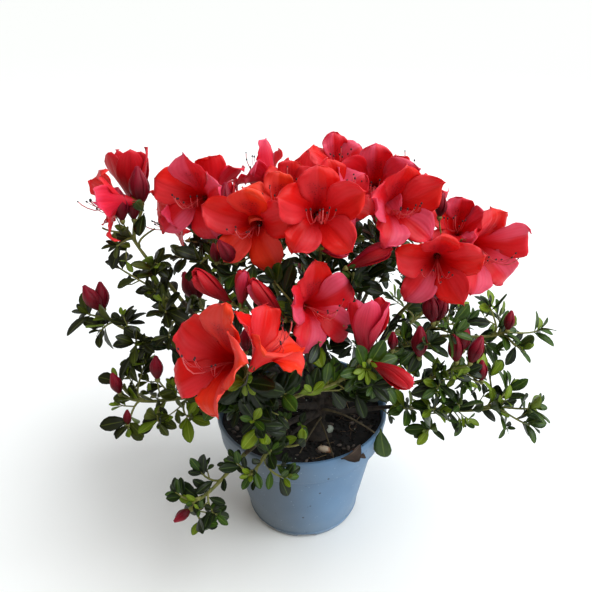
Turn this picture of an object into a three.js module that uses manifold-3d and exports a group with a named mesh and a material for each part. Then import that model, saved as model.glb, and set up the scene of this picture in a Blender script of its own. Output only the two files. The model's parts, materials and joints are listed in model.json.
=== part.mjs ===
// A flowering azalea shrub in a tapered nursery pot.
// Millimetres, +Z up. The origin is the centre of the pot's flat underside.
// The photograph looks along +Y, so +X is its right and -Y is towards the viewer.
import * as THREE from "three";
import { mergeVertices } from "three/addons/utils/BufferGeometryUtils.js";
import Module from "manifold-3d";

const wasm = await Module();
wasm.setup();

// Pot: a thin moulded cup with a straight rim band over a tapered body.
const POT_HEIGHT = 98;
const POT_SIDES = 36;
const RIM_RADIUS = 65;
const RIM_WALL = 2.6;
const RIM_BAND = 21;
const BAND_DRAFT = 2;
const SHOULDER_RADIUS = 57.5;
const SHOULDER_DROP = 3;
const BODY_WALL = 2;
const BASE_RADIUS = 44;
const BASE_EDGE = 2;
const FLOOR = 2.5;

// Soil that fills the pot to just under its rim.
const SOIL_TOP = 90;
const CLEARANCE = 0.35;
const SOIL_CLEARANCE = 0.5;

// Trunk: a short leaning stem from a flat cut on the soil to its fork.
const TRUNK_FOOT = [10, -22];
const TRUNK_FORK = [17, -12, 126];
const TRUNK_RADIUS = 6.5;
const TRUNK_FORK_RADIUS = 5;
const FLARE_RADIUS = 10.5;
const FLARE_SHARE = 1 / 3;
const TRUNK_SIDES = 12;
const TRUNK_STEPS = 5;

// Boughs, stems and twigs.
const BOUGH_SIDES = 6;
const BOUGH_STEPS = 3;
const BOUGH_RADIUS = 2.6;
const SIDE_BOUGH_RADIUS = 2;
const BOUGH_TIP_RADIUS = 1.5;
const STEM_RADIUS = 1.9;
const STEM_TIP_RADIUS = 1.4;
const TWIG_RADIUS = 0.75;
const TWIG_TIP_RADIUS = 0.7;
const TWIG_SIDES = 3;
const STEM_STEPS = 2;
const TWIG_STEPS = 2;
const STALK_STEPS = 1;
const TWIG_REACH = 40;
const TWIG_REACH_RANGE = [0.7, 1.2];
const TWIG_SETBACK = 0.14;
const TWIG_STAGGER = 0.006;
const FIRST_TWIG = 0.15;
const TWIG_SPAN = 0.8;
const NEAREST_STEP = 0.05;
const UPWARD = 0.45;
const CURVE_HANDLE = 1 / 3;
const FULL_TURN = 2 * Math.PI;
const GOLDEN_ANGLE = 2.39996;

// Leaves: blunt blades in a rosette at each shoot's tip and spaced along it.
const LEAF_LENGTH = 30;
const LEAF_WIDTH = 0.56;
const LEAF_WIDEST = 0.58;
const LEAF_FOLD = 0.07;
const LEAF_SINK = 0.1;
const ROSETTE_LEAVES = 3;
const ROSETTE_SETBACK = 1.12;
const ROSETTE_STEP = 1.6;
const ROSETTE_SPREAD = 1.3;
const ROSETTE_TWIST = 0.5;
const ROSETTE_SIZE_RANGE = [0.8, 1.15];
const SIDE_SPREAD = 1.6;
const SIDE_SIZE_RANGE = [0.75, 1.05];
const LEAF_SPACING = 30;
const LEAF_FREE_LENGTH = 10;

// Blossom: a five-lobed funnel, its half-open form and a pointed bud.
const LOBES = 5;
const THROAT_DEPTH = 0.27;
const THROAT_RADIUS = 0.15;
const FACE_DEPTH = 0.46;
const NOTCH_RADIUS = 0.29;
const NOTCH_DEPTH = 0.38;
const SHOULDER_TURN = 0.25;
const PETAL_SHARE = 0.018;
const STALK_SINK = 0.6;
const SPINDLE_LOW = 0.28;
const SPINDLE_HIGH = 0.7;
const HALF_OPEN = { lowGirth: 0.26, highGirth: 0.42, sides: 6 };
const CLOSED = { lowGirth: 0.42, highGirth: 0.34, sides: 5 };
const BLOSSOM_SPACE = 1 / 3;

// Seeds of the random draws: one row of twigs and one of leaves for each spray.
const TWIG_SEED = 1000;
const LEAF_SEED = 5000;
const SEED_STEP = 37;
const RANDOM_FACTOR = 48271;
const RANDOM_MODULUS = 2147483647;

// Sizes below which two vertices are one, a direction counts as upright and a facet is dropped.
const MERGE = 1e-4;
const UPRIGHT = 1e-6;
const SMALLEST_FACET = 0.01;

// Each spray is one mass of foliage on its own bough. Its bough leaves the limb `from` at the
// fraction `at` of that limb's length and ends at `foot`, where the spray's stem goes on to `head`.
// `tips` are shoots whose ends stand out in the crown's outline, and `twigs` counts the seeded ones.
const open = (base, bearing, tilt, width) => ({ kind: "open", base, bearing, tilt, width });
const half = (base, bearing, tilt, width) => ({ kind: "half", base, bearing, tilt, width });
const bud = (base, bearing, tilt, width) => ({ kind: "bud", base, bearing, tilt, width });

const SPRAYS = {
  centre: {
    from: "trunk", at: 1, foot: [12, -6, 196], head: [15, -10, 240], tips: [[36, -8, 238]], twigs: 1,
    blossoms: [
      open([12, -12, 258], 272, 28, 54),
      open([20, 2, 255], 300, 55, 46),
      half([13, -31, 244], 330, 5, 20),
      half([27, -24, 243], 40, 60, 18),
    ],
  },
  centre_left: {
    from: "centre", at: 0.55, foot: [-12, -12, 196], head: [-24, -16, 238], tips: [[-44, -24, 222]], twigs: 1,
    blossoms: [
      open([-24, -3, 250], 255, 18, 54),
      open([-12, 8, 249], 262, 60, 42),
      bud([-40, -28, 235], 200, 60, 18),
      bud([-52, -20, 231], 120, 70, 12),
    ],
  },
  top_back: {
    from: "centre", at: 0.62, foot: [22, 34, 210], head: [25, 56, 248], tips: [[44, 58, 248]], twigs: 1,
    blossoms: [open([27, 66, 257], 282, 55, 42)],
  },
  back_top_left: {
    from: "centre", at: 0.48, foot: [-14, 28, 202], head: [-12, 48, 240], tips: [[-34, 44, 232]], twigs: 1,
    blossoms: [
      open([-13, 50, 250], 148, 46, 46),
      open([-4, 50, 246], 258, 58, 40),
    ],
  },
  red_right: {
    from: "centre", at: 0.75, foot: [30, -10, 192], head: [35, -22, 222], tips: [[54, -4, 214]], twigs: 2,
    blossoms: [half([31, -24, 227], 8, 24, 30)],
  },
  front: {
    from: "centre", at: 0.28, foot: [4, -30, 168], head: [6, -40, 194],
    tips: [[-26, -36, 186], [28, -44, 196]], twigs: 2,
    blossoms: [
      open([1, -29, 202], 303, 25, 54),
      half([-43, -38, 211], 180, 45, 31),
      half([-36, -45, 211], 72, 75, 24),
      half([-10, -52, 207], 168, 50, 31),
    ],
  },
  upper_left: {
    from: "trunk", at: 0.9, foot: [-52, -2, 188], head: [-58, 9, 238],
    tips: [[-77, 14, 230], [-64, -14, 227], [-42, 18, 220]], twigs: 1,
    blossoms: [
      open([-60, 20, 259], 250, 22, 54),
      open([-67, 26, 248], 205, -6, 48),
      open([-58, 26, 252], 90, 50, 44),
      bud([-49, 4, 252], 60, 75, 22),
    ],
  },
  top_left: {
    from: "upper_left", at: 0.7, foot: [-82, 2, 190], head: [-113, 8, 240],
    tips: [[-126, -6, 250], [-118, -8, 238], [-97, 14, 240], [-92, -12, 226]], twigs: 1,
    blossoms: [
      open([-103, 6, 263], 196, 8, 45),
      half([-112, 30, 248], 95, 82, 42),
      bud([-102, 8, 261], 90, 85, 24),
      bud([-114, 0, 253], 110, 80, 21),
      bud([-108, 6, 251], 80, 80, 17),
    ],
  },
  left: {
    from: "trunk", at: 0.74, foot: [-90, -20, 166], head: [-134, -8, 184],
    tips: [[-150, -4, 186], [-138, -14, 176], [-123, 2, 172], [-110, -30, 175]], twigs: 1,
    blossoms: [
      bud([-138, -6, 189], 170, 65, 20),
      bud([-137, -1, 187], 100, 75, 19),
    ],
  },
  mid_left: {
    from: "left", at: 0.6, foot: [-68, -8, 172], head: [-95, -6, 202],
    tips: [[-104, 6, 212], [-87, -30, 200], [-86, -34, 183]], twigs: 2, blossoms: [],
  },
  low_left: {
    from: "left", at: 0.35, foot: [-72, -32, 132], head: [-118, -38, 136],
    tips: [[-127, -30, 149], [-120, -48, 118], [-96, -52, 126], [-112, -14, 146], [-74, -56, 134]],
    twigs: 1,
    blossoms: [
      bud([-125, -36, 140], 140, 70, 15),
      bud([-97, -38, 153], 90, 75, 16),
      bud([-120, -47, 121], 90, 60, 10),
    ],
  },
  front_left: {
    from: "trunk", at: 0.56, foot: [-20, -46, 140], head: [-34, -68, 170],
    tips: [[-25, -80, 142], [-54, -64, 156], [-8, -74, 166]], twigs: 1,
    blossoms: [
      open([-34, -77, 192], 228, 34, 64),
      open([-29, -87, 194], 5, 56, 50),
      bud([-33, -68, 195], 80, 80, 14),
    ],
  },
  front_right: {
    from: "front_left", at: 0.62, foot: [-6, -58, 150], head: [35, -60, 172],
    tips: [[12, -64, 158], [34, -72, 162], [54, -64, 166]], twigs: 1,
    blossoms: [
      half([39, -62, 183], 70, 75, 39),
      half([43, -67, 184], 325, -12, 29),
    ],
  },
  front_low: {
    from: "trunk", at: 0.4, foot: [-16, -56, 118], head: [-35, -82, 106],
    tips: [[-10, -82, 104], [-44, -76, 114], [-20, -78, 124], [2, -72, 126]], twigs: 0, blossoms: [],
  },
  hanging_left: {
    from: "front_low", at: 0.8, foot: [-38, -68, 112], head: [-73, -88, 88],
    tips: [[-84, -84, 94], [-68, -72, 103], [-56, -96, 86], [-66, -96, 76]], twigs: 0,
    blossoms: [bud([-75, -90, 84], 210, -20, 12)],
  },
  right: {
    from: "trunk", at: 0.85, foot: [70, 0, 176], head: [102, 8, 212], tips: [[84, -18, 206], [124, 22, 206]],
    twigs: 1,
    blossoms: [
      open([91, -8, 227], 260, 8, 54),
      open([114, 14, 226], 296, 8, 59),
      open([116, 37, 219], 245, 50, 41),
      bud([96, 16, 244], 60, 80, 15),
    ],
  },
  upper_right: {
    from: "right", at: 0.55, foot: [44, 6, 196], head: [54, 10, 236], tips: [[74, 14, 232], [40, 24, 226]],
    twigs: 1,
    blossoms: [
      open([53, 28, 261], 262, 27, 50),
      open([57, 9, 253], 292, 24, 54),
      open([66, 23, 252], 60, 60, 42),
      bud([82, 10, 246], 60, 75, 14),
      bud([77, 6, 238], 140, 40, 16),
    ],
  },
  mid_right: {
    from: "trunk", at: 0.68, foot: [58, -24, 158], head: [88, -28, 184],
    tips: [[118, -12, 178], [76, -46, 176], [100, -40, 186]], twigs: 1,
    blossoms: [
      bud([87, -32, 190], 115, 66, 20),
      bud([91, -27, 188], 50, 72, 19),
      bud([77, -46, 173], 90, 75, 20),
      bud([60, -42, 176], 90, 80, 12),
    ],
  },
  right_low: {
    from: "mid_right", at: 0.45, foot: [70, -26, 132], head: [104, -34, 154],
    tips: [[126, -28, 140], [130, -14, 134], [90, -48, 148]], twigs: 1,
    blossoms: [
      bud([104, -37, 162], 110, 72, 19),
      bud([109, -32, 168], 80, 75, 17),
      bud([114, -36, 160], 40, 60, 19),
      bud([125, -31, 141], 90, 70, 14),
    ],
  },
  far_right: {
    from: "right", at: 0.4, foot: [104, 8, 152], head: [148, 2, 158],
    tips: [[176, 8, 156], [158, -10, 151], [146, 16, 165], [134, 6, 146], [136, 8, 178]], twigs: 1,
    blossoms: [bud([149, 0, 162], 60, 70, 14)],
  },
  low_right: {
    from: "trunk", at: 0.48, foot: [70, -18, 108], head: [138, -34, 120],
    tips: [
      [162, -42, 125], [148, -24, 130], [134, -18, 138], [88, -42, 106], [158, -46, 113], [108, -38, 126],
      [70, -38, 124], [88, -42, 126],
    ],
    twigs: 0, blossoms: [],
  },
  back_left: {
    from: "back_mid", at: 0.5, foot: [-42, 42, 166], head: [-66, 68, 204],
    tips: [[-92, 58, 196], [-58, 86, 190]], twigs: 1,
    blossoms: [
      open([-74, 74, 218], 130, 30, 56),
      half([-56, 74, 214], 100, 60, 38),
      bud([-78, 64, 216], 160, 60, 18),
    ],
  },
  back_mid: {
    from: "trunk", at: 0.95, foot: [4, 52, 172], head: [2, 84, 208], tips: [[-24, 96, 196], [30, 94, 200]],
    twigs: 1,
    blossoms: [
      open([4, 90, 220], 75, 30, 58),
      open([-18, 94, 206], 115, 5, 54),
    ],
  },
  back_right: {
    from: "back_mid", at: 0.55, foot: [52, 44, 168], head: [72, 70, 204],
    tips: [[100, 58, 190], [58, 90, 192]], twigs: 1,
    blossoms: [
      open([78, 76, 216], 50, 30, 56),
      half([62, 78, 212], 95, 55, 38),
      bud([84, 62, 214], 10, 60, 18),
    ],
  },
  back_low_left: {
    from: "trunk", at: 0.42, foot: [-40, 44, 126], head: [-84, 76, 142],
    tips: [[-108, 62, 150], [-92, 92, 132], [-60, 88, 136], [-96, 40, 150]], twigs: 1,
    blossoms: [
      bud([-88, 78, 148], 130, 60, 24),
      bud([-84, 82, 147], 100, 70, 22),
    ],
  },
  back_low: {
    from: "trunk", at: 0.55, foot: [8, 60, 124], head: [6, 104, 138],
    tips: [[-20, 112, 140], [30, 112, 136], [4, 122, 150]], twigs: 1,
    blossoms: [bud([6, 110, 146], 90, 65, 24), bud([12, 108, 145], 70, 60, 20)],
  },
  back_low_right: {
    from: "trunk", at: 0.44, foot: [62, 40, 124], head: [104, 66, 140],
    tips: [[130, 58, 146], [104, 90, 136], [80, 84, 140], [124, 34, 148]], twigs: 1,
    blossoms: [bud([108, 68, 147], 40, 60, 24), bud([104, 73, 146], 70, 70, 20)],
  },
};

const MATERIALS = {
  pot: { color: 0x6c8499, roughness: 0.45, metalness: 0 },
  soil: { color: 0x1d1712, roughness: 0.95, metalness: 0 },
  bark: { color: 0x54453a, roughness: 0.85, metalness: 0 },
  foliage: { color: 0x2f3a1c, roughness: 0.4, metalness: 0 },
};

const UP = new THREE.Vector3(0, 0, 1);
const degrees = (angle) => THREE.MathUtils.degToRad(angle);
const vector = (place) => new THREE.Vector3(...place);

// The same random numbers for the same seed, in any language: a multiplicative generator.
function seeded(seed) {
  let state = seed;
  return () => {
    state = (state * RANDOM_FACTOR) % RANDOM_MODULUS;
    return state / RANDOM_MODULUS;
  };
}

const between = (random, [least, most]) => THREE.MathUtils.lerp(least, most, random());

// A closed geometry as an exact solid, with its shared vertices merged.
function solidOf(geometry) {
  geometry.deleteAttribute("normal");
  geometry.deleteAttribute("uv");
  const merged = mergeVertices(geometry, MERGE);
  return new wasm.Manifold(
    new wasm.Mesh({
      numProp: 3,
      vertProperties: merged.attributes.position.array,
      triVerts: new Uint32Array(merged.index.array),
    }),
  );
}

function geometryOf(solid) {
  const mesh = solid.getMesh();
  const geometry = new THREE.BufferGeometry();
  geometry.setAttribute("position", new THREE.BufferAttribute(mesh.vertProperties, mesh.numProp));
  geometry.setIndex(new THREE.BufferAttribute(mesh.triVerts, 1));
  return geometry;
}

function moveVertices(geometry, move) {
  const position = geometry.attributes.position;
  for (let i = 0; i < position.count; i += 1) {
    const point = move(new THREE.Vector3().fromBufferAttribute(position, i));
    position.setXYZ(i, point.x, point.y, point.z);
  }
  return geometry;
}

function lathe(profile, sides) {
  const points = profile.map(([radius, height]) => new THREE.Vector2(radius, height));
  return new THREE.LatheGeometry(points, sides).rotateX(Math.PI / 2);
}

function pot() {
  const bandFoot = POT_HEIGHT - RIM_BAND;
  const shoulder = bandFoot - SHOULDER_DROP;
  return lathe(
    [
      [0, 0],
      [BASE_RADIUS - BASE_EDGE, 0],
      [BASE_RADIUS, BASE_EDGE],
      [SHOULDER_RADIUS, shoulder],
      [RIM_RADIUS - BAND_DRAFT, bandFoot],
      [RIM_RADIUS, POT_HEIGHT],
      [RIM_RADIUS - RIM_WALL, POT_HEIGHT],
      [RIM_RADIUS - BAND_DRAFT - RIM_WALL, bandFoot],
      [SHOULDER_RADIUS - BODY_WALL, shoulder],
      [BASE_RADIUS - BODY_WALL, FLOOR],
      [0, FLOOR],
    ],
    POT_SIDES,
  );
}

// The soil follows the inside of the pot a hair's breadth off it.
function soil() {
  const bandFoot = POT_HEIGHT - RIM_BAND;
  const shoulder = bandFoot - SHOULDER_DROP;
  const topRadius = RIM_RADIUS - RIM_WALL - (BAND_DRAFT * (POT_HEIGHT - SOIL_TOP)) / RIM_BAND;
  const gap = SOIL_CLEARANCE;
  return lathe(
    [
      [0, FLOOR + CLEARANCE],
      [BASE_RADIUS - BODY_WALL - gap, FLOOR + CLEARANCE],
      [SHOULDER_RADIUS - BODY_WALL - gap, shoulder],
      [RIM_RADIUS - BAND_DRAFT - RIM_WALL - gap, bandFoot + gap],
      [topRadius - gap, SOIL_TOP],
      [0, SOIL_TOP],
    ],
    POT_SIDES,
  );
}

// A round limb along a curve: rings on the curve's frames, skinned, with a flat cap at each end.
function limb(curve, radiusAt, sides, steps) {
  const frames = curve.computeFrenetFrames(steps, false);
  const points = [];
  const faces = [];
  for (let ring = 0; ring <= steps; ring += 1) {
    const centre = curve.getPointAt(ring / steps);
    const radius = radiusAt(ring / steps);
    for (let side = 0; side < sides; side += 1) {
      const turn = (side / sides) * FULL_TURN;
      const point = centre.clone();
      point.addScaledVector(frames.normals[ring], radius * Math.cos(turn));
      point.addScaledVector(frames.binormals[ring], radius * Math.sin(turn));
      points.push(...point);
      if (ring < steps) {
        const [a, b] = [ring * sides + side, ring * sides + ((side + 1) % sides)];
        faces.push(a, b, b + sides, a, b + sides, a + sides);
      }
    }
  }
  const last = steps * sides;
  for (let side = 1; side < sides - 1; side += 1) {
    faces.push(0, side + 1, side, last, last + side, last + side + 1);
  }
  const geometry = new THREE.BufferGeometry();
  geometry.setAttribute("position", new THREE.Float32BufferAttribute(points, 3));
  geometry.setIndex(faces);
  return geometry;
}

const taper = (thick, thin) => (share) => THREE.MathUtils.lerp(thick, thin, share);

// A point on the straight lengths between a limb's rings, so that what leaves it starts inside it.
function chordPoint({ line, steps }, share) {
  const ring = Math.min(Math.floor(share * steps), steps - 1);
  return line.getPointAt(ring / steps).lerp(line.getPointAt((ring + 1) / steps), share * steps - ring);
}

// A curve that leaves `start` along `out` and reaches `end` along `into`.
function curveBetween(start, out, end, into) {
  const handle = start.distanceTo(end) * CURVE_HANDLE;
  return new THREE.CubicBezierCurve3(
    start,
    start.clone().addScaledVector(out, handle),
    end.clone().addScaledVector(into, -handle),
    end,
  );
}

const trunkFoot = new THREE.Vector3(...TRUNK_FOOT, SOIL_TOP + CLEARANCE);
const trunkFork = vector(TRUNK_FORK);
const trunkLine = curveBetween(
  trunkFoot,
  UP,
  trunkFork,
  trunkFork.clone().sub(trunkFoot).normalize(),
);

// The trunk's girth: a flare at the root that is soon gone.
function trunkRadius(share) {
  const flare = Math.max(0, 1 - share / FLARE_SHARE) ** 2;
  return THREE.MathUtils.lerp(TRUNK_RADIUS, TRUNK_FORK_RADIUS, share) + (FLARE_RADIUS - TRUNK_RADIUS) * flare;
}

// The foot's ring is pressed flat on the soil.
function trunk() {
  const shape = limb(trunkLine, trunkRadius, TRUNK_SIDES, TRUNK_STEPS);
  const footTop = trunkFoot.z + CLEARANCE;
  return moveVertices(shape, (point) => (point.z < footTop ? point.setZ(trunkFoot.z) : point));
}

// Every limb by name, with its middle line and its girth, for the limbs that leave it.
const limbs = { trunk: { line: trunkLine, radiusAt: trunkRadius, steps: TRUNK_STEPS } };

function directionOf(spray) {
  return vector(spray.head).sub(vector(spray.foot)).normalize();
}

// A bough starts just clear of its parent's side, square to it, and bends towards its foot.
function boughLine(spray) {
  const parent = limbs[spray.from];
  const root = chordPoint(parent, spray.at);
  const along = parent.line.getTangentAt(spray.at);
  const foot = vector(spray.foot);
  const fromFork = spray.at === 1;
  const side = foot.clone().sub(root);
  side.addScaledVector(along, -side.dot(along)).normalize();
  const out = fromFork ? along.clone() : side;
  const offset = fromFork ? CLEARANCE : parent.radiusAt(spray.at) + CLEARANCE;
  return curveBetween(root.clone().addScaledVector(out, offset), out, foot, directionOf(spray));
}

function growBoughs() {
  const waiting = Object.entries(SPRAYS);
  while (waiting.length > 0) {
    const [name, spray] = waiting.shift();
    if (!(spray.from in limbs)) {
      waiting.push([name, spray]);
    } else {
      const thick = spray.from === "trunk" ? BOUGH_RADIUS : SIDE_BOUGH_RADIUS;
      limbs[name] = { line: boughLine(spray), radiusAt: taper(thick, BOUGH_TIP_RADIUS), steps: BOUGH_STEPS };
    }
  }
}

// A leaf is a tetrahedron: a keel along X from root to tip, and a raised corner on either side.
function leafGeometry(length) {
  return moveVertices(new THREE.TetrahedronGeometry(1), (point) => {
    const isKeel = point.z > 0;
    const corner = isKeel
      ? new THREE.Vector3(point.x > 0 ? 1 : 0, 0, 0)
      : new THREE.Vector3(LEAF_WIDEST, Math.sign(point.x) * LEAF_WIDTH * 0.5, LEAF_FOLD);
    return corner.multiplyScalar(length);
  });
}

// A frame whose X points along a direction and whose Z is as near to up as it can be.
function frameAlong(direction) {
  const x = direction.clone().normalize();
  const level = UP.clone().cross(x);
  const y = level.lengthSq() > UPRIGHT ? level.normalize() : new THREE.Vector3(0, 1, 0);
  const z = x.clone().cross(y);
  return new THREE.Matrix4().makeBasis(x, y, z);
}

function leafSolid(root, direction, length) {
  const start = root.clone().addScaledVector(direction, -LEAF_SINK);
  return solidOf(leafGeometry(length).applyMatrix4(frameAlong(direction)).translate(...start));
}

// An open blossom along X: a five-sided funnel from its base to the throat, then five broad lobes.
// Each lobe has two shoulders, and a notch parts it from the next.
function openBlossom(width) {
  const lobeAngle = FULL_TURN / LOBES;
  const at = (radius, depth, turn) => {
    const angle = turn * lobeAngle;
    return [depth * width, radius * width * Math.cos(angle), radius * width * Math.sin(angle)];
  };
  const front = [at(0, 0, 0)];
  const back = [at(0, 2 * PETAL_SHARE, 0)];
  for (let lobe = 0; lobe < LOBES; lobe += 1) {
    front.push(at(THROAT_RADIUS, THROAT_DEPTH, lobe));
    back.push(at(THROAT_RADIUS - PETAL_SHARE, THROAT_DEPTH, lobe));
    for (const [radius, depth, turn] of [
      [NOTCH_RADIUS, NOTCH_DEPTH, 0],
      [0.5, FACE_DEPTH, SHOULDER_TURN],
      [0.5, FACE_DEPTH, 1 - SHOULDER_TURN],
    ]) {
      front.push(at(radius, depth, lobe + turn));
      back.push(at(radius, depth + PETAL_SHARE, lobe + turn));
    }
  }
  const inner = front.length;
  const faces = [];
  const face = (...corners) => {
    faces.push(corners);
    faces.push(corners.map((corner) => inner + corner).reverse());
  };
  const edge = (a, b) => faces.push([a, b, inner + b], [a, inner + b, inner + a]);
  for (let lobe = 0; lobe < LOBES; lobe += 1) {
    const [throat, notch, first, second] = [1, 2, 3, 4].map((corner) => 4 * lobe + corner);
    const [nextThroat, nextNotch] = [1, 2].map((corner) => 4 * ((lobe + 1) % LOBES) + corner);
    face(0, nextThroat, throat);
    face(throat, first, notch);
    face(throat, second, first);
    face(throat, nextThroat, second);
    face(nextThroat, nextNotch, second);
    edge(notch, first);
    edge(first, second);
    edge(second, nextNotch);
  }
  const geometry = new THREE.BufferGeometry();
  geometry.setAttribute("position", new THREE.Float32BufferAttribute([...front, ...back].flat(), 3));
  geometry.setIndex(faces.flat());
  return geometry;
}

// A closed blossom as a spindle along X, with `sides` flats and its girth at two heights.
function spindle(length, { lowGirth, highGirth, sides }) {
  const profile = [
    [0, 0],
    [lowGirth / 2, SPINDLE_LOW],
    [highGirth / 2, SPINDLE_HIGH],
    [0, 1],
  ];
  const points = profile.map(([radius, height]) => new THREE.Vector2(radius * length, height * length));
  return new THREE.LatheGeometry(points, sides).rotateZ(-Math.PI / 2);
}

const BLOSSOM_SHAPES = {
  open: openBlossom,
  half: (length) => spindle(length, HALF_OPEN),
  bud: (length) => spindle(length, CLOSED),
};

function facing({ bearing, tilt }) {
  const level = Math.cos(degrees(tilt));
  return new THREE.Vector3(
    level * Math.cos(degrees(bearing)),
    level * Math.sin(degrees(bearing)),
    Math.sin(degrees(tilt)),
  );
}

function blossomSolid(blossom) {
  const geometry = BLOSSOM_SHAPES[blossom.kind](blossom.width);
  return solidOf(geometry.applyMatrix4(frameAlong(facing(blossom))).translate(...blossom.base));
}

// A spray's stem goes on from its bough's tip, and its blossoms' stalks and its shoots leave that.
function growShoots(name, spray, random) {
  const direction = directionOf(spray);
  const foot = vector(spray.foot).addScaledVector(direction, CLEARANCE);
  const head = vector(spray.head);
  const lift = direction.clone().addScaledVector(UP, UPWARD).normalize();
  const stem = { line: curveBetween(foot, direction, head, lift), steps: STEM_STEPS };
  const shoots = [];
  const leave = (share, end, into, leafy) => {
    const line = curveBetween(chordPoint(stem, share), stem.line.getTangentAt(share), end, into);
    shoots.push({ line, steps: leafy ? TWIG_STEPS : STALK_STEPS, leafy });
  };
  // No two leave the stem at one spot.
  const shareFor = (end) =>
    Math.max(NEAREST_STEP, nearestShare(stem.line, end) - TWIG_SETBACK) + TWIG_STAGGER * shoots.length;
  for (const blossom of spray.blossoms) {
    const base = vector(blossom.base);
    leave(shareFor(base), base.clone().addScaledVector(facing(blossom), STALK_SINK), facing(blossom), false);
  }
  for (const tip of spray.tips) {
    const end = vector(tip);
    const outward = end.clone().sub(head).normalize();
    leave(shareFor(end), end, outward.addScaledVector(UP, UPWARD).normalize(), true);
  }
  for (let k = 0; k < spray.twigs; k += 1) {
    const share = FIRST_TWIG + (TWIG_SPAN * (k + random())) / spray.twigs;
    const into = outwardFrom(stem.line, share, GOLDEN_ANGLE * k + FULL_TURN * random(), 1);
    const reach = TWIG_REACH * between(random, TWIG_REACH_RANGE);
    const end = stem.line.getPointAt(share).addScaledVector(into, reach);
    if (nearestSpray(end) === name) leave(share, end, into, true);
  }
  return { stem, shoots };
}

// The direction that stands off a line by an angle round it, raised towards the light.
function outwardFrom(line, share, turn, spread) {
  const along = line.getTangentAt(share);
  const frame = frameAlong(along);
  const side = new THREE.Vector3(0, Math.cos(turn), Math.sin(turn)).applyMatrix4(frame);
  return side
    .multiplyScalar(spread)
    .add(along)
    .addScaledVector(UP, UPWARD)
    .normalize();
}

function nearestShare(line, point) {
  let best = 0;
  for (let share = 0; share <= 1; share += NEAREST_STEP) {
    if (line.getPointAt(share).distanceTo(point) < line.getPointAt(best).distanceTo(point)) best = share;
  }
  return best;
}

// The lines that a spray's own space lies round: its stem, and one from its head to each blossom.
const spaces = Object.entries(SPRAYS).map(([name, spray]) => {
  const head = vector(spray.head);
  const lines = [new THREE.Line3(vector(spray.foot), head)];
  for (const end of spray.tips) lines.push(new THREE.Line3(head, vector(end)));
  for (const blossom of spray.blossoms) {
    const middle = vector(blossom.base).addScaledVector(facing(blossom), blossom.width * BLOSSOM_SPACE);
    lines.push(new THREE.Line3(head, middle));
  }
  return { name, lines };
});

function nearestSpray(point) {
  let nearest = null;
  let least = Infinity;
  for (const { name, lines } of spaces) {
    for (const line of lines) {
      const distance = line.closestPointToPoint(point, true, new THREE.Vector3()).distanceTo(point);
      if (distance < least) {
        least = distance;
        nearest = name;
      }
    }
  }
  return nearest;
}

// Leaves along a shoot by the golden angle, and a rosette round its tip.
function growLeaves(shoot, random) {
  const leaves = [];
  const { line } = shoot;
  const length = line.getLength();
  let turn = FULL_TURN * random();
  for (let at = LEAF_FREE_LENGTH; at < length - LEAF_FREE_LENGTH / 2; at += LEAF_SPACING) {
    turn += GOLDEN_ANGLE;
    const share = at / length;
    const direction = outwardFrom(line, share, turn, SIDE_SPREAD);
    leaves.push([chordPoint(shoot, share), direction, LEAF_LENGTH * between(random, SIDE_SIZE_RANGE)]);
  }
  for (let k = 0; k < ROSETTE_LEAVES; k += 1) {
    turn += FULL_TURN / ROSETTE_LEAVES;
    const share = 1 - (ROSETTE_SETBACK + ROSETTE_STEP * k) / length;
    const direction = outwardFrom(line, share, turn + ROSETTE_TWIST * random(), ROSETTE_SPREAD);
    leaves.push([chordPoint(shoot, share), direction, LEAF_LENGTH * between(random, ROSETTE_SIZE_RANGE)]);
  }
  return leaves;
}

// What stands so far, so that a new twig or leaf that would touch another node is skipped.
const standing = [];

function stand(node, solid, twig = false) {
  standing.push({ node, solid, twig, box: solid.boundingBox() });
}

function isClear(solid, isOwn) {
  const box = solid.boundingBox();
  const apart = (other) =>
    [0, 1, 2].some(
      (axis) => box.min[axis] > other.max[axis] + CLEARANCE || box.max[axis] < other.min[axis] - CLEARANCE,
    );
  return standing.every(
    (other) => isOwn(other) || apart(other.box) || solid.minGap(other.solid, 2 * CLEARANCE) >= CLEARANCE,
  );
}

function twigSolid({ line, steps }, thick, thin) {
  return solidOf(limb(line, taper(thick, thin), TWIG_SIDES, steps));
}

const part = new THREE.Group();

function addNode(name, solid, material) {
  const mesh = new THREE.Mesh(geometryOf(solid), new THREE.MeshStandardMaterial(MATERIALS[material]));
  mesh.name = name;
  part.add(mesh);
}

function addHardNode(name, solid, material) {
  stand(name, solid);
  addNode(name, solid, material);
}

addHardNode("pot", solidOf(pot()), "pot");
addHardNode("soil", solidOf(soil()), "soil");
addHardNode("trunk", solidOf(trunk()), "bark");
growBoughs();
for (const name of Object.keys(SPRAYS)) {
  const { line, radiusAt } = limbs[name];
  addHardNode(`bough_${name}`, solidOf(limb(line, radiusAt, BOUGH_SIDES, BOUGH_STEPS)), "bark");
}

// Blossoms and stems come first, then stalks and shoots, then leaves, so that the large forms are
// never the ones that are skipped.
const masses = Object.entries(SPRAYS).map(([name, spray], index) => {
  const grown = growShoots(name, spray, seeded(TWIG_SEED + SEED_STEP * index));
  const node = `foliage_${name}`;
  const mass = { name, node, index, ...grown, solids: [] };
  const stem = twigSolid(grown.stem, STEM_RADIUS, STEM_TIP_RADIUS);
  const blossoms = spray.blossoms.map(blossomSolid);
  mass.solids.push(stem, ...blossoms);
  stand(node, stem, true);
  blossoms.forEach((solid) => stand(node, solid));
  return mass;
});

for (const mass of masses) {
  mass.shoots = mass.shoots.filter((shoot) => {
    const solid = twigSolid(shoot, TWIG_RADIUS, TWIG_TIP_RADIUS);
    const kept = !shoot.leafy || isClear(solid, (other) => other.node === mass.node);
    if (kept) {
      mass.solids.push(solid);
      stand(mass.node, solid, true);
    }
    return kept;
  });
}

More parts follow.
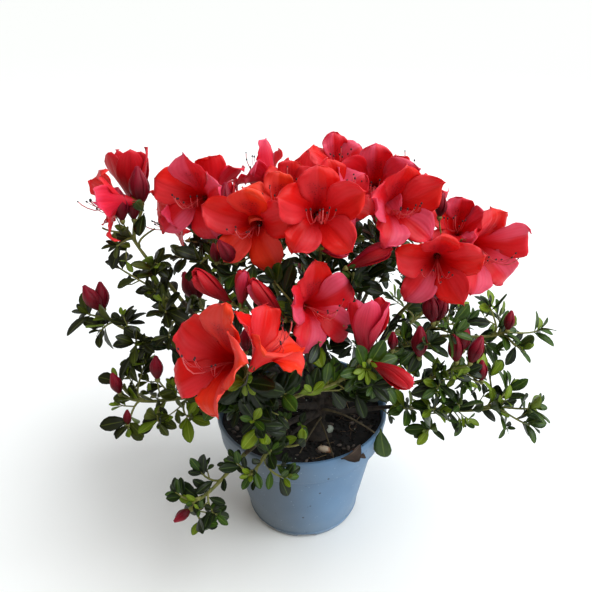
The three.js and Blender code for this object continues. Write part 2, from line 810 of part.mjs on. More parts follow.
for (const mass of masses) {
  const random = seeded(LEAF_SEED + SEED_STEP * mass.index);
  for (const shoot of [mass.stem, ...mass.shoots.filter(({ leafy }) => leafy)]) {
    for (const [root, direction, size] of growLeaves(shoot, random)) {
      const middle = root.clone().addScaledVector(direction, size * LEAF_WIDEST);
      const solid = leafSolid(root, direction, size);
      const isTwig = (other) => other.node === mass.node && other.twig;
      if (nearestSpray(middle) === mass.name && isClear(solid, isTwig)) {
        mass.solids.push(solid);
        stand(mass.node, solid);
      }
    }
  }
}

for (const mass of masses) {
  const joined = wasm.Manifold.union(mass.solids).simplify(SMALLEST_FACET);
  const pieces = joined.decompose().sort((a, b) => b.volume() - a.volume());
  addNode(mass.node, pieces[0], "foliage");
}

export default part;
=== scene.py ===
"""A flowering azalea shrub in its nursery pot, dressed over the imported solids.

Shapes are worked out in millimetres from the middle of the pot's underside, and become metres
when their mesh is made. The camera looks along +Y, with +X to its right.
"""
import json
import math
from collections import namedtuple

import bpy
import numpy as np
from mathutils import Matrix, Vector, noise

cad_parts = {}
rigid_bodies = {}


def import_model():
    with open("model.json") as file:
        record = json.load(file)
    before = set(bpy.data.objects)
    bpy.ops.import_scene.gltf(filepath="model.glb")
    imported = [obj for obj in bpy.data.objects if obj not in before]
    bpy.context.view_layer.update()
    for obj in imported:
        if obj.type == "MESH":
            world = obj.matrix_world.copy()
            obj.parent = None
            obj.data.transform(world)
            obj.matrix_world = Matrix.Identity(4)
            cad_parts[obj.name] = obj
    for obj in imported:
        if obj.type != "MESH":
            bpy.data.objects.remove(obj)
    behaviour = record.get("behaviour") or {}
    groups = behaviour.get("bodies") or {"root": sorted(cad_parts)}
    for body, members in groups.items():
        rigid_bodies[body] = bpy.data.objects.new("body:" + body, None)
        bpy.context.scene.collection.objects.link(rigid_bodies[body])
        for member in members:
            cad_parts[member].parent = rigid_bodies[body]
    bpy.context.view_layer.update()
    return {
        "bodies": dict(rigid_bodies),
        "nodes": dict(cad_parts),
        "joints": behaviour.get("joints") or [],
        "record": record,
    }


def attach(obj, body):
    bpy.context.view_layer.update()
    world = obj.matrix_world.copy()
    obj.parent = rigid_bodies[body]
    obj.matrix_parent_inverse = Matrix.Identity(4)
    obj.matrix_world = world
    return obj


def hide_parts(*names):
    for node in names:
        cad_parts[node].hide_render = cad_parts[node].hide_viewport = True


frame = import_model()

MM = 0.001

# Camera, fitted to the photograph's pot, soil and blossoms.
CAMERA_PLACE = (0.0, -386.4, 413.8)
CAMERA_YAW = -0.0059
CAMERA_PITCH = 0.5188
CAMERA_ROLL = 0.023
CAMERA_LENS = 38.92
CAMERA_SENSOR = 36.0
CAMERA_NEAR = 10

# Pot and soil, as the solids have them.
POT_HEIGHT = 98
RIM_RADIUS = 65
RIM_WALL = 2.6
RIM_BAND = 21
BAND_DRAFT = 2
SHOULDER_RADIUS = 57.5
SHOULDER_DROP = 3
BODY_WALL = 2
BASE_RADIUS = 44
BASE_EDGE = 2
FLOOR = 2.5
SOIL_TOP = 90
CLEARANCE = 0.35
SOIL_CLEARANCE = 0.5

# Trunk and limbs.
TRUNK_FOOT = (10, -22)
TRUNK_FORK = (17, -12, 126)
TRUNK_RADIUS = 6.5
TRUNK_FORK_RADIUS = 5
FLARE_RADIUS = 10.5
FLARE_SHARE = 1 / 3
TRUNK_STEPS = 5
BOUGH_STEPS = 3
BOUGH_RADIUS = 2.6
SIDE_BOUGH_RADIUS = 2
BOUGH_TIP_RADIUS = 1.5
STEM_RADIUS = 1.5
STEM_TIP_RADIUS = 1.0
SHOOT_RADIUS = 0.85
STALK_RADIUS = 0.7
TWIGLET_RADIUS = 0.55
TIP_SHARE = 0.7
STEM_STEPS = 2
TWIG_STEPS = 2
STALK_STEPS = 1
TWIG_REACH = 40
TWIG_REACH_RANGE = (0.7, 1.2)
TWIG_SETBACK = 0.14
TWIG_STAGGER = 0.006
FIRST_TWIG = 0.15
TWIG_SPAN = 0.8
NEAREST_STEP = 0.05
UPWARD = 0.45
CURVE_HANDLE = 1 / 3
CURVE_SAMPLES = 200
STALK_SINK = 0.6
BLOSSOM_SPACE = 1 / 3
LOBES = 5

# Turns, and the seeded series that everything random is drawn from.
FULL_TURN = 2 * math.pi
GOLDEN_ANGLE = 2.39996
TWIG_SEED = 1000
LEAF_SEED = 5000
BLOSSOM_SEED = 8155
WHORL_SEED = 9001
SEED_STEP = 37
RANDOM_FACTOR = 48271
RANDOM_MODULUS = 2147483647

# Finer growth than the solids have: twiglets along each shoot, and leaves along both.
TWIGLET_SPACING = 15
TWIGLET_FREE_LENGTH = 9
TWIGLET_REACH = (7, 17)
TWIGLET_SPREAD = 1.5
TWIGLET_STEPS = 1
TWIGLET_RING = 3
TWIGLET_SIDES = 5
BOUGH_FREE_SHARE = 0.45
LEAF_SPACING = 8.4
SPACING_RANGE = (0.7, 1.3)
SPARSE_FACTOR = 1.6
CROWDED_FACTOR = 0.52
LEAF_SPREAD = 1.7
LEAF_FREE_LENGTH = 6
SHOOT_LEAF_SIZE = (14, 23)
ROSETTE_SIZE = (17, 28)
TWIGLET_LEAF_SIZE = (11, 19)
SMALL_LEAF = 0.82
FINE_LEAF = 0.70

# Sprays with broader or finer leaves than the others, with fewer or more of them, in the light, where
# more pale leaves partly paint the light, and on the shaded side, where olive tones are painted warm
# shade.
BROAD_LEAF_SPRAYS = ("front_left", "front_right", "front", "centre", "red_right")
FINE_LEAF_SPRAYS = ("front_low", "hanging_left")
SPARSE_SPRAYS = ("left", "far_right", "hanging_left", "top_left", "back_low_right")
CROWDED_SPRAYS = (
    "right", "upper_right", "mid_right", "right_low", "red_right", "front", "centre", "front_right",
    "back_mid", "back_right", "back_low", "centre_left", "front_left",
)
LIT_SPRAYS = ("low_right", "far_right", "right_low", "back_low_right", "low_left")
SHADE_OLIVE_SPRAYS = ("upper_left", "top_left", "left", "mid_left", "low_left", "back_left", "back_low_left")

# The shares of dark and green leaves, where the rest are young, the share of young tips, and how
# many leaves of such a tip have the palest tone. Lit sprays have fewer dark leaves and more young
# tips, whose paler tones partly paint the light on them.
TONE_SHARES = (0.70, 0.27)
LIT_TONE_SHARES = (0.38, 0.37)
YOUNG_SHARE = 0.18
LIT_YOUNG_SHARE = 0.75
PALEST_SHARE = 0.55

# The rosette of leaves round a tip: how far each leaf stands behind the next, how far out the
# innermost and outermost lean, their roll, the innermost's size, and how many of them are young.
ROSETTE_LEAVES = 7
ROSETTE_STEP = 0.9
ROSETTE_SETBACK = 0.2
ROSETTE_SPREADS = (0.6, 1.7)
ROSETTE_ROLL = 0.6
INNER_SIZE = 0.55
FRESH_SHARE = 0.45
FEWEST_TWIGLET_LEAVES = 3
MORE_TWIGLET_LEAVES = 3

# Where leaves stay away, how far they lean outwards and to the window, and their own roll.
LEAF_WIDEST = 0.58
BARE_PLACES = (((7, -90, 90), (54, -26, 136)), ((-16, -90, 146), (28, -59, 166)))
LEAF_LEAN = 0.7
LEAF_LIGHT = (0.2, -0.55, 0.0)
LEAF_ROLL = 0.9
LEAF_FORMS = 4

# Where a direction is so near to upright, or to another, that it has no side of its own, the least
# distance from the trunk's axis, and what a range's end needs to be counted in.
UPRIGHT_LIMIT = 1e-6
ALONG_LIMIT = 0.05
LEAST_DISTANCE = 1.0
ROUNDING = 1e-9

Spray = namedtuple("Spray", "name parent at foot head tips twigs blossoms")
Blossom = namedtuple("Blossom", "kind base bearing tilt width")

# The source's sprays: each leaves the limb `parent` at the share `at` of its length, its bough
# ends at `foot`, and its stem goes on to `head` and on shoots to `tips`.
SPRAYS = [
    Spray(
        "centre", "trunk", 1, (12, -6, 196), (15, -10, 240),
        [(36, -8, 238)], 1,
        [
            Blossom("open", (12, -12, 258), 272, 28, 54),
            Blossom("open", (20, 2, 255), 300, 55, 46),
            Blossom("half", (13, -31, 244), 330, 5, 20),
            Blossom("half", (27, -24, 243), 40, 60, 18),
        ],
    ),
    Spray(
        "centre_left", "centre", 0.55, (-12, -12, 196), (-24, -16, 238),
        [(-44, -24, 222)], 1,
        [
            Blossom("open", (-24, -3, 250), 255, 18, 54),
            Blossom("open", (-12, 8, 249), 262, 60, 42),
            Blossom("bud", (-40, -28, 235), 200, 60, 18),
            Blossom("bud", (-52, -20, 231), 120, 70, 12),
        ],
    ),
    Spray(
        "top_back", "centre", 0.62, (22, 34, 210), (25, 56, 248),
        [(44, 58, 248)], 1,
        [
            Blossom("open", (27, 66, 257), 282, 55, 42),
        ],
    ),
    Spray(
        "back_top_left", "centre", 0.48, (-14, 28, 202), (-12, 48, 240),
        [(-34, 44, 232)], 1,
        [
            Blossom("open", (-13, 50, 250), 148, 46, 46),
            Blossom("open", (-4, 50, 246), 258, 58, 40),
        ],
    ),
    Spray(
        "red_right", "centre", 0.75, (30, -10, 192), (35, -22, 222),
        [(54, -4, 214)], 2,
        [
            Blossom("half", (31, -24, 227), 8, 24, 30),
        ],
    ),
    Spray(
        "front", "centre", 0.28, (4, -30, 168), (6, -40, 194),
        [(-26, -36, 186), (28, -44, 196)], 2,
        [
            Blossom("open", (1, -29, 202), 303, 25, 54),
            Blossom("half", (-43, -38, 211), 180, 45, 31),
            Blossom("half", (-36, -45, 211), 72, 75, 24),
            Blossom("half", (-10, -52, 207), 168, 50, 31),
        ],
    ),
    Spray(
        "upper_left", "trunk", 0.9, (-52, -2, 188), (-58, 9, 238),
        [(-77, 14, 230), (-64, -14, 227), (-42, 18, 220)], 1,
        [
            Blossom("open", (-60, 20, 259), 250, 22, 54),
            Blossom("open", (-67, 26, 248), 205, -6, 48),
            Blossom("open", (-58, 26, 252), 90, 50, 44),
            Blossom("bud", (-49, 4, 252), 60, 75, 22),
        ],
    ),
    Spray(
        "top_left", "upper_left", 0.7, (-82, 2, 190), (-113, 8, 240),
        [(-126, -6, 250), (-118, -8, 238), (-97, 14, 240), (-92, -12, 226)], 1,
        [
            Blossom("open", (-103, 6, 263), 196, 8, 45),
            Blossom("half", (-112, 30, 248), 95, 82, 42),
            Blossom("bud", (-102, 8, 261), 90, 85, 24),
            Blossom("bud", (-114, 0, 253), 110, 80, 21),
            Blossom("bud", (-108, 6, 251), 80, 80, 17),
        ],
    ),
    Spray(
        "left", "trunk", 0.74, (-90, -20, 166), (-134, -8, 184),
        [(-150, -4, 186), (-138, -14, 176), (-123, 2, 172), (-110, -30, 175)], 1,
        [
            Blossom("bud", (-138, -6, 189), 170, 65, 20),
            Blossom("bud", (-137, -1, 187), 100, 75, 19),
        ],
    ),
    Spray(
        "mid_left", "left", 0.6, (-68, -8, 172), (-95, -6, 202),
        [(-104, 6, 212), (-87, -30, 200), (-86, -34, 183)], 2,
        [],
    ),
    Spray(
        "low_left", "left", 0.35, (-72, -32, 132), (-118, -38, 136),
        [(-127, -30, 149), (-120, -48, 118), (-96, -52, 126), (-112, -14, 146), (-74, -56, 134)], 1,
        [
            Blossom("bud", (-125, -36, 140), 140, 70, 15),
            Blossom("bud", (-97, -38, 153), 90, 75, 16),
            Blossom("bud", (-120, -47, 121), 90, 60, 10),
        ],
    ),
    Spray(
        "front_left", "trunk", 0.56, (-20, -46, 140), (-34, -68, 170),
        [(-25, -80, 142), (-54, -64, 156), (-8, -74, 166)], 1,
        [
            Blossom("open", (-34, -77, 192), 228, 34, 64),
            Blossom("open", (-29, -87, 194), 5, 56, 50),
            Blossom("bud", (-33, -68, 195), 80, 80, 14),
        ],
    ),
    Spray(
        "front_right", "front_left", 0.62, (-6, -58, 150), (35, -60, 172),
        [(12, -64, 158), (34, -72, 162), (54, -64, 166)], 1,
        [
            Blossom("half", (39, -62, 183), 70, 75, 39),
            Blossom("half", (43, -67, 184), 325, -12, 29),
        ],
    ),
    Spray(
        "front_low", "trunk", 0.4, (-16, -56, 118), (-35, -82, 106),
        [(-10, -82, 104), (-44, -76, 114), (-20, -78, 124), (2, -72, 126)], 0,
        [],
    ),
    Spray(
        "hanging_left", "front_low", 0.8, (-38, -68, 112), (-73, -88, 88),
        [(-84, -84, 94), (-68, -72, 103), (-56, -96, 86), (-66, -96, 76)], 0,
        [
            Blossom("bud", (-75, -90, 84), 210, -20, 12),
        ],
    ),
    Spray(
        "right", "trunk", 0.85, (70, 0, 176), (102, 8, 212),
        [(84, -18, 206), (124, 22, 206)], 1,
        [
            Blossom("open", (91, -8, 227), 260, 8, 54),
            Blossom("open", (114, 14, 226), 296, 8, 59),
            Blossom("open", (116, 37, 219), 245, 50, 41),
            Blossom("bud", (96, 16, 244), 60, 80, 15),
        ],
    ),
    Spray(
        "upper_right", "right", 0.55, (44, 6, 196), (54, 10, 236),
        [(74, 14, 232), (40, 24, 226)], 1,
        [
            Blossom("open", (53, 28, 261), 262, 27, 50),
            Blossom("open", (57, 9, 253), 292, 24, 54),
            Blossom("open", (66, 23, 252), 60, 60, 42),
            Blossom("bud", (82, 10, 246), 60, 75, 14),
            Blossom("bud", (77, 6, 238), 140, 40, 16),
        ],
    ),
    Spray(
        "mid_right", "trunk", 0.68, (58, -24, 158), (88, -28, 184),
        [(118, -12, 178), (76, -46, 176), (100, -40, 186)], 1,
        [
            Blossom("bud", (87, -32, 190), 115, 66, 20),
            Blossom("bud", (91, -27, 188), 50, 72, 19),
            Blossom("bud", (77, -46, 173), 90, 75, 20),
            Blossom("bud", (60, -42, 176), 90, 80, 12),
        ],
    ),
    Spray(
        "right_low", "mid_right", 0.45, (70, -26, 132), (104, -34, 154),
        [(126, -28, 140), (130, -14, 134), (90, -48, 148)], 1,
        [
            Blossom("bud", (104, -37, 162), 110, 72, 19),
            Blossom("bud", (109, -32, 168), 80, 75, 17),
            Blossom("bud", (114, -36, 160), 40, 60, 19),
            Blossom("bud", (125, -31, 141), 90, 70, 14),
        ],
    ),
    Spray(
        "far_right", "right", 0.4, (104, 8, 152), (148, 2, 158),
        [(176, 8, 156), (158, -10, 151), (146, 16, 165), (134, 6, 146), (136, 8, 178)], 1,
        [
            Blossom("bud", (149, 0, 162), 60, 70, 14),
        ],
    ),
    Spray(
        "low_right", "trunk", 0.48, (70, -18, 108), (138, -34, 120),
        [(162, -42, 125), (148, -24, 130), (134, -18, 138), (88, -42, 106),
         (158, -46, 113), (108, -38, 126), (70, -38, 124), (88, -42, 126)], 0,
        [],
    ),
    Spray(
        "back_left", "back_mid", 0.5, (-42, 42, 166), (-66, 68, 204),
        [(-92, 58, 196), (-58, 86, 190)], 1,
        [
            Blossom("open", (-74, 74, 218), 130, 30, 56),
            Blossom("half", (-56, 74, 214), 100, 60, 38),
            Blossom("bud", (-78, 64, 216), 160, 60, 18),
        ],
    ),
    Spray(
        "back_mid", "trunk", 0.95, (4, 52, 172), (2, 84, 208),
        [(-24, 96, 196), (30, 94, 200)], 1,
        [
            Blossom("open", (4, 90, 220), 75, 30, 58),
            Blossom("open", (-18, 94, 206), 115, 5, 54),
        ],
    ),
    Spray(
        "back_right", "back_mid", 0.55, (52, 44, 168), (72, 70, 204),
        [(100, 58, 190), (58, 90, 192)], 1,
        [
            Blossom("open", (78, 76, 216), 50, 30, 56),
            Blossom("half", (62, 78, 212), 95, 55, 38),
            Blossom("bud", (84, 62, 214), 10, 60, 18),
        ],
    ),
    Spray(
        "back_low_left", "trunk", 0.42, (-40, 44, 126), (-84, 76, 142),
        [(-108, 62, 150), (-92, 92, 132), (-60, 88, 136), (-96, 40, 150)], 1,
        [
            Blossom("bud", (-88, 78, 148), 130, 60, 24),
            Blossom("bud", (-84, 82, 147), 100, 70, 22),
        ],
    ),
    Spray(
        "back_low", "trunk", 0.55, (8, 60, 124), (6, 104, 138),
        [(-20, 112, 140), (30, 112, 136), (4, 122, 150)], 1,
        [
            Blossom("bud", (6, 110, 146), 90, 65, 24),
            Blossom("bud", (12, 108, 145), 70, 60, 20),
        ],
    ),
    Spray(
        "back_low_right", "trunk", 0.44, (62, 40, 124), (104, 66, 140),
        [(130, 58, 146), (104, 90, 136), (80, 84, 140), (124, 34, 148)], 1,
        [
            Blossom("bud", (108, 68, 147), 40, 60, 24),
            Blossom("bud", (104, 73, 146), 70, 70, 20),
        ],
    ),
]

UP = np.array((0.0, 0.0, 1.0))


def unit(vector):
    return vector / np.linalg.norm(vector)


def place(point):
    return np.array(point, float)


def seeded(seed):
    """The source's random numbers: the same series for the same seed."""
    state = seed

    def draw():
        nonlocal state
        state = state * RANDOM_FACTOR % RANDOM_MODULUS
        return state / RANDOM_MODULUS

    return draw


def within(limits, share):
    return limits[0] + (limits[1] - limits[0]) * share


def between(draw, limits):
    return within(limits, draw())


class Curve:
    """A line that leaves `start` along `out` and reaches `end` along `into`, read by its length."""

    def __init__(self, start, out, end, into):
        handle = np.linalg.norm(end - start) * CURVE_HANDLE
        self.controls = np.array((start, start + out * handle, end - into * handle, end))
        self.steps = np.linspace(0, 1, CURVE_SAMPLES + 1)
        legs = np.linalg.norm(np.diff(self.bezier(self.steps), axis=0), axis=1)
        self.lengths = np.concatenate(((0,), np.cumsum(legs)))
        self.length = self.lengths[-1]

    def bezier(self, t):
        t = np.asarray(t, float)[..., None]
        a, b, c, d = self.controls
        return a * (1 - t) ** 3 + b * 3 * t * (1 - t) ** 2 + c * 3 * t**2 * (1 - t) + d * t**3

    def step(self, share):
        return np.interp(np.asarray(share) * self.length, self.lengths, self.steps)

    def at(self, share):
        return self.bezier(self.step(share))

    def along(self, share):
        t = np.asarray(self.step(share), float)[..., None]
        a, b, c, d = self.controls
        slope = (b - a) * (1 - t) ** 2 + (c - b) * 2 * t * (1 - t) + (d - c) * t**2
        return slope / np.linalg.norm(slope, axis=-1, keepdims=True)


class Limb:
    """A curve with the number of straight lengths that the solids give it, and its girth."""

    def __init__(self, line, steps, thick, thin, leafy=False):
        self.line, self.steps, self.thick, self.thin, self.leafy = line, steps, thick, thin, leafy

    def radius(self, share):
        return self.thick + (self.thin - self.thick) * np.asarray(share)

    def chord(self, share):
        """A point on the straight lengths between the solid limb's rings."""
        ring = min(int(share * self.steps), self.steps - 1)
        start, end = self.line.at(ring / self.steps), self.line.at((ring + 1) / self.steps)
        return start + (end - start) * (share * self.steps - ring)


class Trunk(Limb):
    """A limb with a flare at its root."""

    def radius(self, share):
        flare = np.clip(1 - np.asarray(share) / FLARE_SHARE, 0, None) ** 2
        return super().radius(share) + (FLARE_RADIUS - TRUNK_RADIUS) * flare


def frame_along(direction):
    """Rows are a frame whose X points along a direction, and whose Z is as near up as it can be."""
    x = unit(direction)
    level = np.cross(UP, x)
    y = unit(level) if np.dot(level, level) > UPRIGHT_LIMIT else np.array((0.0, 1.0, 0.0))
    return np.array((x, y, np.cross(x, y)))


def outward_from(line, share, turn, spread):
    """The direction that stands off a line by an angle round it, raised towards the light."""
    tangent = line.along(share)
    side = np.array((0, math.cos(turn), math.sin(turn))) @ frame_along(tangent)
    return unit(side * spread + tangent + UP * UPWARD)


def facing(blossom):
    level = math.cos(math.radians(blossom.tilt))
    bearing = math.radians(blossom.bearing)
    return np.array(
        (level * math.cos(bearing), level * math.sin(bearing), math.sin(math.radians(blossom.tilt)))
    )


def direction_of(spray):
    return unit(place(spray.head) - place(spray.foot))


def trunk_limb():
    foot, fork = place((*TRUNK_FOOT, SOIL_TOP + CLEARANCE)), place(TRUNK_FORK)
    line = Curve(foot, UP, fork, unit(fork - foot))
    return Trunk(line, TRUNK_STEPS, TRUNK_RADIUS, TRUNK_FORK_RADIUS)


def bough_limb(spray, parent):
    root, tangent, foot = parent.chord(spray.at), parent.line.along(spray.at), place(spray.foot)
    side = foot - root
    side = unit(side - tangent * side.dot(tangent))
    from_fork = spray.at == 1
    out = tangent if from_fork else side
    offset = CLEARANCE if from_fork else float(parent.radius(spray.at)) + CLEARANCE
    line = Curve(root + out * offset, out, foot, direction_of(spray))
    thick = BOUGH_RADIUS if spray.parent == "trunk" else SIDE_BOUGH_RADIUS
    return Limb(line, BOUGH_STEPS, thick, BOUGH_TIP_RADIUS)


def grow_limbs():
    limbs = {"trunk": trunk_limb()}
    waiting = list(SPRAYS)
    while waiting:
        spray = waiting.pop(0)
        if spray.parent in limbs:
            limbs[spray.name] = bough_limb(spray, limbs[spray.parent])
        else:
            waiting.append(spray)
    return limbs


def space_lines():
    """The lines that each spray's own space lies round, with the spray's number for each."""
    starts, ends, owners = [], [], []
    for number, spray in enumerate(SPRAYS):
        head = place(spray.head)
        lines = [(place(spray.foot), head)] + [(head, place(tip)) for tip in spray.tips]
        for blossom in spray.blossoms:
            middle = place(blossom.base) + facing(blossom) * blossom.width * BLOSSOM_SPACE
            lines.append((head, middle))
        for start, end in lines:
            starts.append(start)
            ends.append(end)
            owners.append(number)
    return np.array(starts), np.array(ends), np.array(owners)


SPACE_STARTS, SPACE_ENDS, SPACE_OWNERS = space_lines()


def nearest_spray(point):
    spans = SPACE_ENDS - SPACE_STARTS
    share = np.einsum("ij,ij->i", point - SPACE_STARTS, spans) / np.einsum("ij,ij->i", spans, spans)
    closest = SPACE_STARTS + spans * np.clip(share, 0, 1)[:, None]
    return SPACE_OWNERS[np.linalg.norm(point - closest, axis=1).argmin()]


def nearest_share(line, point):
    shares = np.arange(0, 1 + ROUNDING, NEAREST_STEP)
    return shares[np.linalg.norm(line.at(shares) - point, axis=1).argmin()]


def grow_shoots(number, spray):
    """A spray's stem, its blossoms' stalks and its leafy shoots, by the source's rule and seeds."""
    draw = seeded(TWIG_SEED + SEED_STEP * number)
    direction = direction_of(spray)
    head = place(spray.head)
    foot = place(spray.foot) + direction * CLEARANCE
    stem = Limb(
        Curve(foot, direction, head, unit(direction + UP * UPWARD)),
        STEM_STEPS, STEM_RADIUS, STEM_TIP_RADIUS, True,
    )
    shoots = []

    def leave(share, end, into, leafy):
        line = Curve(stem.chord(share), stem.line.along(share), end, into)
        girth = SHOOT_RADIUS if leafy else STALK_RADIUS
        steps = TWIG_STEPS if leafy else STALK_STEPS
        shoots.append(Limb(line, steps, girth, girth * TIP_SHARE, leafy))

    def share_for(end):
        setback = nearest_share(stem.line, end) - TWIG_SETBACK
        return max(NEAREST_STEP, setback) + TWIG_STAGGER * len(shoots)

    for blossom in spray.blossoms:
        base = place(blossom.base)
        leave(share_for(base), base + facing(blossom) * STALK_SINK, facing(blossom), False)
    for tip in spray.tips:
        end = place(tip)
        leave(share_for(end), end, unit(unit(end - head) + UP * UPWARD), True)
    for k in range(spray.twigs):
        share = FIRST_TWIG + TWIG_SPAN * (k + draw()) / spray.twigs
        into = outward_from(stem.line, share, GOLDEN_ANGLE * k + FULL_TURN * draw(), 1)
        end = stem.line.at(share) + into * TWIG_REACH * between(draw, TWIG_REACH_RANGE)
        if nearest_spray(end) == number:
            leave(share, end, into, True)
    return stem, shoots


class Heap:
    """Many small closed shapes gathered into one mesh. A face is a row of four corners, and the
    last is -1 where it is a triangle."""

    def __init__(self):
        self.points, self.faces, self.maps, self.finishes = [], [], [], []
        self.count = 0

    def add(self, points, faces, surface_map=None, finish=0):
        points = np.asarray(points, float).reshape(-1, 3)
        faces = np.asarray(faces, int)
        self.points.append(points)
        self.faces.append(np.where(faces >= 0, faces + self.count, faces))
        self.maps.append(np.zeros((len(points), 2)) if surface_map is None else surface_map)
        self.finishes.append(np.broadcast_to(finish, len(faces)))
        self.count += len(points)

    def piece(self, name, finishes):
        mesh = bpy.data.meshes.new(name)
        faces = np.concatenate(self.faces)
        filled = faces >= 0
        corners = faces[filled]
        totals = filled.sum(axis=1)
        mesh.vertices.add(self.count)
        mesh.vertices.foreach_set("co", (np.concatenate(self.points) * MM).ravel())
        mesh.loops.add(len(corners))
        mesh.loops.foreach_set("vertex_index", corners)
        mesh.polygons.add(len(totals))
        mesh.polygons.foreach_set("loop_start", np.cumsum(totals) - totals)
        mesh.polygons.foreach_set("material_index", np.concatenate(self.finishes))
        mesh.polygons.foreach_set("use_smooth", np.ones(len(totals), bool))
        surface = mesh.uv_layers.new(name="surface")
        surface.data.foreach_set("uv", np.concatenate(self.maps)[corners].ravel())
        mesh.update(calc_edges=True)
        for finish in finishes:
            mesh.materials.append(finish)
        piece = bpy.data.objects.new(name, mesh)
        bpy.context.collection.objects.link(piece)
        return piece


def grid_faces(rows, columns):
    """The faces of a grid of points, row by row, anticlockwise seen with rows up and columns right."""
    corner = np.arange((rows - 1) * columns).reshape(rows - 1, columns)[:, :-1].ravel()
    return np.stack((corner, corner + 1, corner + columns + 1, corner + columns), axis=1)


def surface_grid(across, along):
    """A grid's own map: each point's place across and along it, row by row."""
    both = np.broadcast_arrays(across[None, :], along[:, None])
    return np.stack(both, axis=-1).reshape(-1, 2)


def tube_points(points, radii, sides):
    """Rings round a line of points, on a frame that doesn't twist as it goes along."""
    tangents = np.gradient(points, axis=0)
    tangents /= np.linalg.norm(tangents, axis=1, keepdims=True)
    normal = frame_along(tangents[0])[1]
    turns = np.arange(sides) / sides * FULL_TURN
    rings = []
    for point, tangent, radius in zip(points, tangents, radii):
        normal = unit(normal - tangent * normal.dot(tangent))
        binormal = np.cross(tangent, normal)
        spokes = np.outer(np.cos(turns), normal) + np.outer(np.sin(turns), binormal)
        rings.append(point + spokes * np.reshape(radius, (-1, 1)))
    return np.array(rings), tangents


# How far a tube's caps stand out, as a share of its radius.
CAP_HEIGHT = 0.5


def ring_faces(rings, sides):
    """The faces of a closed skin over rings of points. Two points more, after the last ring, close
    its two ends."""
    side = np.arange(sides)
    after = (side + 1) % sides
    faces = []
    for ring in range(rings - 1):
        low, high = ring * sides, (ring + 1) * sides
        faces.append(np.stack((low + side, low + after, high + after, high + side), axis=1))
    none = np.full(sides, -1)
    first, last = rings * sides, rings * sides + 1
    end = (rings - 1) * sides
    faces.append(np.stack((after, side, np.full(sides, first), none), axis=1))
    faces.append(np.stack((end + side, end + after, np.full(sides, last), none), axis=1))
    return np.concatenate(faces)


def inside_out(faces):
    """The same faces, quads and triangles, seen from their other side."""
    is_triangle = faces[:, 3:] < 0
    return np.where(is_triangle, faces[:, (1, 0, 2, 3)], faces[:, (0, 3, 2, 1)])


def tube(heap, points, radii, sides, finish=0):
    """A closed tube: its rings, and a rounded cap on one point at each end."""
    points = np.asarray(points, float)
    radii = np.asarray(radii, float)
    rings, tangents = tube_points(points, radii, sides)
    caps = [
        points[0] - tangents[0] * np.mean(radii[0]) * CAP_HEIGHT,
        points[-1] + tangents[-1] * np.mean(radii[-1]) * CAP_HEIGHT,
    ]
    heap.add(np.concatenate((rings.reshape(-1, 3), caps)), ring_faces(len(points), sides), None, finish)


# A limb's swellings: the noise's pace from ring to ring, its shift from limb to limb, and its layer.
FEWEST_RINGS = 4
SWELL_PACE = 0.9
SWELL_SHIFT = 3.1
SWELL_LAYER = 0.5


def limb_tube(heap, limb, ring_length, sides, wobble=0.0, seed=0):
    """A limb as a smooth tube with small swellings, as at old leaf scars."""
    rings = max(FEWEST_RINGS, int(limb.line.length / ring_length))
    shares = np.linspace(0, 1, rings)
    places = [Vector((k * SWELL_PACE, seed * SWELL_SHIFT, SWELL_LAYER)) for k in range(rings)]
    swell = np.array([1 + wobble * noise.noise(spot) for spot in places])
    tube(heap, limb.line.at(shares), limb.radius(shares) * swell, sides)


# A blade is a grid over a leaf's outline: top and underside share its rim, so it is a closed lens.
BLADE_STATIONS = (0.0, 0.10, 0.26, 0.46, 0.66, 0.83, 0.95, 1.0)
BLADE_WIDTHS = (0.022, 0.036, 0.138, 0.214, 0.234, 0.184, 0.094, 0.014)
BLADE_ACROSS = (-1.0, -0.5, 0.0, 0.5, 1.0)
BLADE_THICKNESS = 0.016
# How steeply a folded blade's sides rise, and how much shorter it gets as its tip bends down.
BLADE_FOLDING = 1.4
BLADE_SHORTENING = 0.12

Blade = namedtuple("Blade", "points faces surface_map underside")


def blade(fold, droop, wave, girth=1.0):
    """A leaf one unit long, with its upper side up: `fold` lifts its sides, `droop` bends its tip
    down and `wave` lifts one side against the other along its length."""
    along = np.array(BLADE_STATIONS)
    across = np.array(BLADE_ACROSS)
    rows, columns = len(along), len(across)
    half = np.array(BLADE_WIDTHS) * girth
    x = np.repeat(along[:, None], columns, axis=1)
    y = half[:, None] * across[None, :]
    z = fold * np.abs(across)[None, :] ** BLADE_FOLDING * half[:, None] - droop * x**2
    z = z + wave * across[None, :] * np.sin(x * FULL_TURN) * half[:, None]
    top = np.stack((x - BLADE_SHORTENING * droop * x**2, y, z), axis=-1).reshape(-1, 3)
    inner = np.zeros((rows, columns), bool)
    inner[1:-1, 1:-1] = True
    inner = inner.ravel()
    below = top[inner] - np.array((0, 0, BLADE_THICKNESS))
    under = np.arange(rows * columns)
    under[inner] = rows * columns + np.arange(inner.sum())
    faces = grid_faces(rows, columns)[:, ::-1]
    surface = surface_grid((across + 1) / 2, along)
    return Blade(
        np.concatenate((top, below)),
        np.concatenate((faces, under[faces][:, ::-1])),
        np.concatenate((surface, surface[inner])),
        np.repeat((0, 1), len(faces)),
    )


def add_blades(heap, form, roots, frames, sizes, finishes):
    """Copies of one blade, each on its own frame and at its own size, with its own finish."""
    count, corners = len(roots), len(form.points)
    if count == 0:
        return
    points = np.einsum("nk,lkj->lnj", form.points, frames) * sizes[:, None, None] + roots[:, None, :]
    faces = form.faces[None] + (np.arange(count) * corners)[:, None, None]
    finish = (finishes[:, None] * 2 + form.underside[None]).ravel()
    heap.add(points, faces.reshape(-1, 4), np.tile(form.surface_map, (count, 1)), finish)


